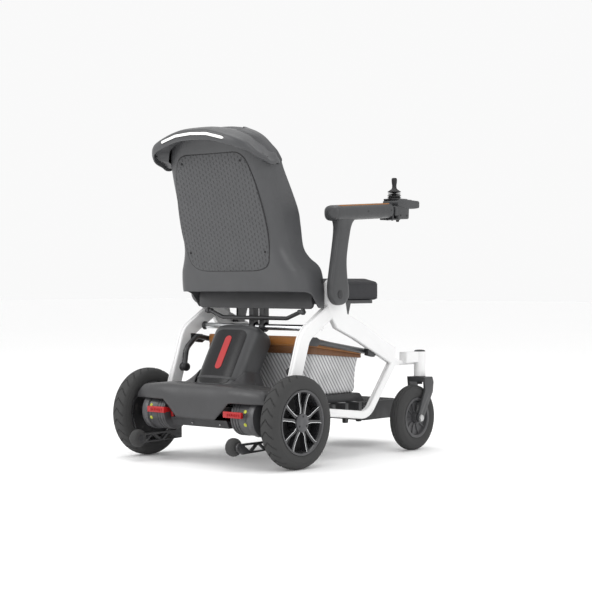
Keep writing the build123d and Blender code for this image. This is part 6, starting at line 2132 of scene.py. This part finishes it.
# ---------------------------------------------------------------- basket and footplate
@dataclass
class Basket:
    """Ribbed cloth basket hung from a leather band between the seat's rails.

    Attributes:
        shop: where the pieces go.
        half: half its width in mm.
        back: rear and front ends at the bag's top edge, ahead of the axle.
        floor: height of its floor.
        rib: distance between its slanting ribs.
        slant: how far a rib runs forward for its height.
    """

    shop: Workshop
    half: float = 199.5
    back: tuple[float, float] = (165.5, 410.0)
    floor: float = 187.0
    rib: float = 13.5
    slant: float = 0.72

    def around(self, out: float, front: float, count: int) -> np.ndarray:
        """Plan outline as (X, ahead) at a distance outside the bag, starting at its rear middle."""
        corners = [(-self.half - out, self.back[0] - out), (self.half + out, self.back[0] - out),
                   (self.half + out, front + out), (-self.half - out, front + out)]
        line = rounded(corners, 22, 8)
        start = int(np.argmin(np.abs(line[:, 0]) + np.abs(line[:, 1] - corners[0][1]) * 9))
        line = np.roll(line, -start, 0)
        return evenly(np.vstack((line, line[:1])), count, closed=True)

    @staticmethod
    def edge(ahead: Any, rear: float, front: float) -> Any:
        """Height of a line that falls from the rear to the front."""
        return rear + (front - rear) * (ahead - 165.0) / 247.0

    def bag(self) -> None:
        """Walls and floor as one cloth: ribs A cos(2 pi (s + slant h) / pitch), a sag, and a rounded foot."""
        count, rows = 1200, 26
        length = 2 * (2 * self.half + self.back[1] - self.back[0])
        grid = []
        for share in np.linspace(0, 1, rows):
            front = self.back[1] - 20 * (1 - share)
            line = self.around(0, front, count)
            top = self.edge(line[:, 1], 340, 302)
            height = self.floor + (top - self.floor) * share
            s = np.linspace(0, length, count, endpoint=False)
            phase = 2 * np.pi * (s + np.sign(line[:, 0]) * self.slant * height) / self.rib
            inward = np.array((0, (self.back[0] + front) / 2)) - line
            inward /= np.linalg.norm(inward, axis=1, keepdims=True)
            depth = 1.3 - 1.2 * np.cos(phase) + 5.0 * math.sin(math.pi * share) + 9 * max(0,
                    1 - share / 0.12)**2
            grid.append(np.column_stack((line + inward * depth[:, None], height)))
        shape = Backrest.facing(skin(spots(np.array(grid)), ring=True), (0, 285, 260))
        bag = self.shop.put("basket_walls", shape, MESH, "frame", ("basket_bag",), "basket_mesh",
                            wall=0.0009, outward=False)
        base = self.around(-10, self.back[1] - 20, 200)
        rings = [np.column_stack((base * k + (0, 285 * (1 - k)), np.full(200, self.floor + 1.2)))
                 for k in (1, 0.8, 0.55, 0.3, 0.05)]
        bottom = Backrest.facing(skin(spots(np.array(rings)), ring=True, caps=False), (0, 285, 100))
        self.shop.put("basket_bottom", bottom, MESH, "frame", (), "basket_mesh", wall=0.001, outward=False)

    def band(self) -> None:
        """Two leather strips, one above the other, with stitches along their edges; the lower one is a darker
        copy of the leather, as painted shade.
        """
        for name, finish, high, low in (("band_upper", BROWN, (359, 313.5), (331, 299)),
                                        ("band_lower", BROWN_SHADED, (331.5, 299.5), (309, 289))):
            line = self.around(2.6 + 0.4 * (finish is BROWN), self.back[1] + 4, 420)
            rows = []
            for share, out in ((0, -1.6), (0.02, -0.2), (0.1, 0.35), (0.5, 0.75), (0.9, 0.35), (0.98, -0.2),
                               (1, -1.6)):
                height = self.edge(line[:, 1], *low) * (1 - share) + self.edge(line[:, 1], *high) * share
                rows.append(np.column_stack((line * (1 + out / 200, 1), height)))
                rows[-1][:, 1] += (line[:, 1] - 288) / 123 * out
            shape = Backrest.facing(skin(spots(np.array(rows)), ring=True), (0, 288, 320))
            self.shop.put(name, shape, finish, "frame", ("basket_band",) if finish is BROWN else (),
                          "band_leather",
                          wall=0.0016, outward=False)
        stitches = []
        for rear, front in ((355, 310), (334.5, 302)):
            line = self.around(3.9, self.back[1] + 4, 250)
            height = self.edge(line[:, 1], rear, front)
            path = np.column_stack((line, height))
            ahead = np.roll(path, -1, 0)
            stitches += [carried(superellipse(0.0005, 0.0005, 2, 6), spots([a, a * 0.38 + b * 0.62]),
                                 (0, 0, 1))
                         for a, b in zip(path, ahead)]
        self.shop.put("band_stitches", together(stitches), THREAD, "frame")

    def build(self) -> None:
        """Make the basket, its tray, rails, knobs and brackets."""
        self.bag()
        self.band()
        self.shop.soften("basket_base", DARK, 0.002)
        self.shop.soften("basket_rails", BLACK_PAINT, 0.0006)
        self.shop.soften("basket_brackets", DARK, 0.0012)
        knobs = [turned([(0.001, -1), (12, -1), (13, 1), (13, 5), (11, 9), (6, 11), (0.001, 11.4)],
                        (sign * 208, 75, 262), (-sign, 0, 0), 40)
                 for sign in (-1, 1)]
        self.shop.put("rail_knobs", together(knobs), SOFT_BLACK, "frame")
        feet = [block((sign * 232 - 6, ahead - 8, 104), (sign * 232 + 6, ahead + 8, 118), 2.5)
                for sign in (-1, 1) for ahead in (292, 356)]
        self.shop.put("rail_feet", together(feet), SOFT_BLACK, "frame")


@dataclass
class FootRest:
    """Fold-up footplate with a bordered tread of grip bars.

    Attributes:
        shop: where the pieces go.
        bars: number of grip bars.
    """

    shop: Workshop
    bars: int = 9

    def build(self) -> None:
        """Ease the plate and make the tread, the border and the hinge bolts."""
        self.shop.soften("footplate", DARK, 0.003)
        bars = [block((-84, 566 + 17 * n, 141), (84, 574 + 17 * n, 144.6), 3) for n in range(self.bars)]
        self.shop.put("footplate_tread", together(bars), SOFT_BLACK, "footplate")
        edge = rounded([(-96, -725), (96, -725), (96, -553), (-96, -553)], 20, 10)
        path = np.column_stack((np.vstack((edge, edge[:1]))[:, 0], -np.vstack((edge, edge[:1]))[:, 1],
                                np.full(41, 142.8)))
        self.shop.put("footplate_border",
                      carried(superellipse(0.0022, 0.0018, 2, 10), evenly(spots(path), 240)), SOFT_BLACK,
                      "footplate")
        heads = [h for sign in (-1, 1) for h in screw((sign * 98.4, 530, 135), (sign, 0, 0), 6.5)]
        self.shop.put("hinge_bolts", together(heads), STEEL, "frame")


# ---------------------------------------------------------------- everything in order
def corners() -> list[list[float]]:
    """The model's overall box as two plain lists."""
    low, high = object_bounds()
    return [[float(v) for v in low], [float(v) for v in high]]


def main() -> None:
    """Build the chair's looks, piece by piece."""
    logging.basicConfig(level=logging.INFO, format="%(message)s")
    shop = Workshop(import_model())
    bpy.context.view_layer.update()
    Studio().build()
    FrameWork(shop).build()
    for side in Side:
        DriveWheel(shop, side).build()
        Caster(shop, side).build()
        Armrest(shop, side).build()
    Backrest(shop).build()
    Seat(shop).build()
    Controller(shop).build()
    DriveUnit(shop).build()
    Battery(shop).build()
    Basket(shop).build()
    FootRest(shop).build()
    LOG.info("%d pieces", len(shop.made))


if __name__ == "__main__":
    main()
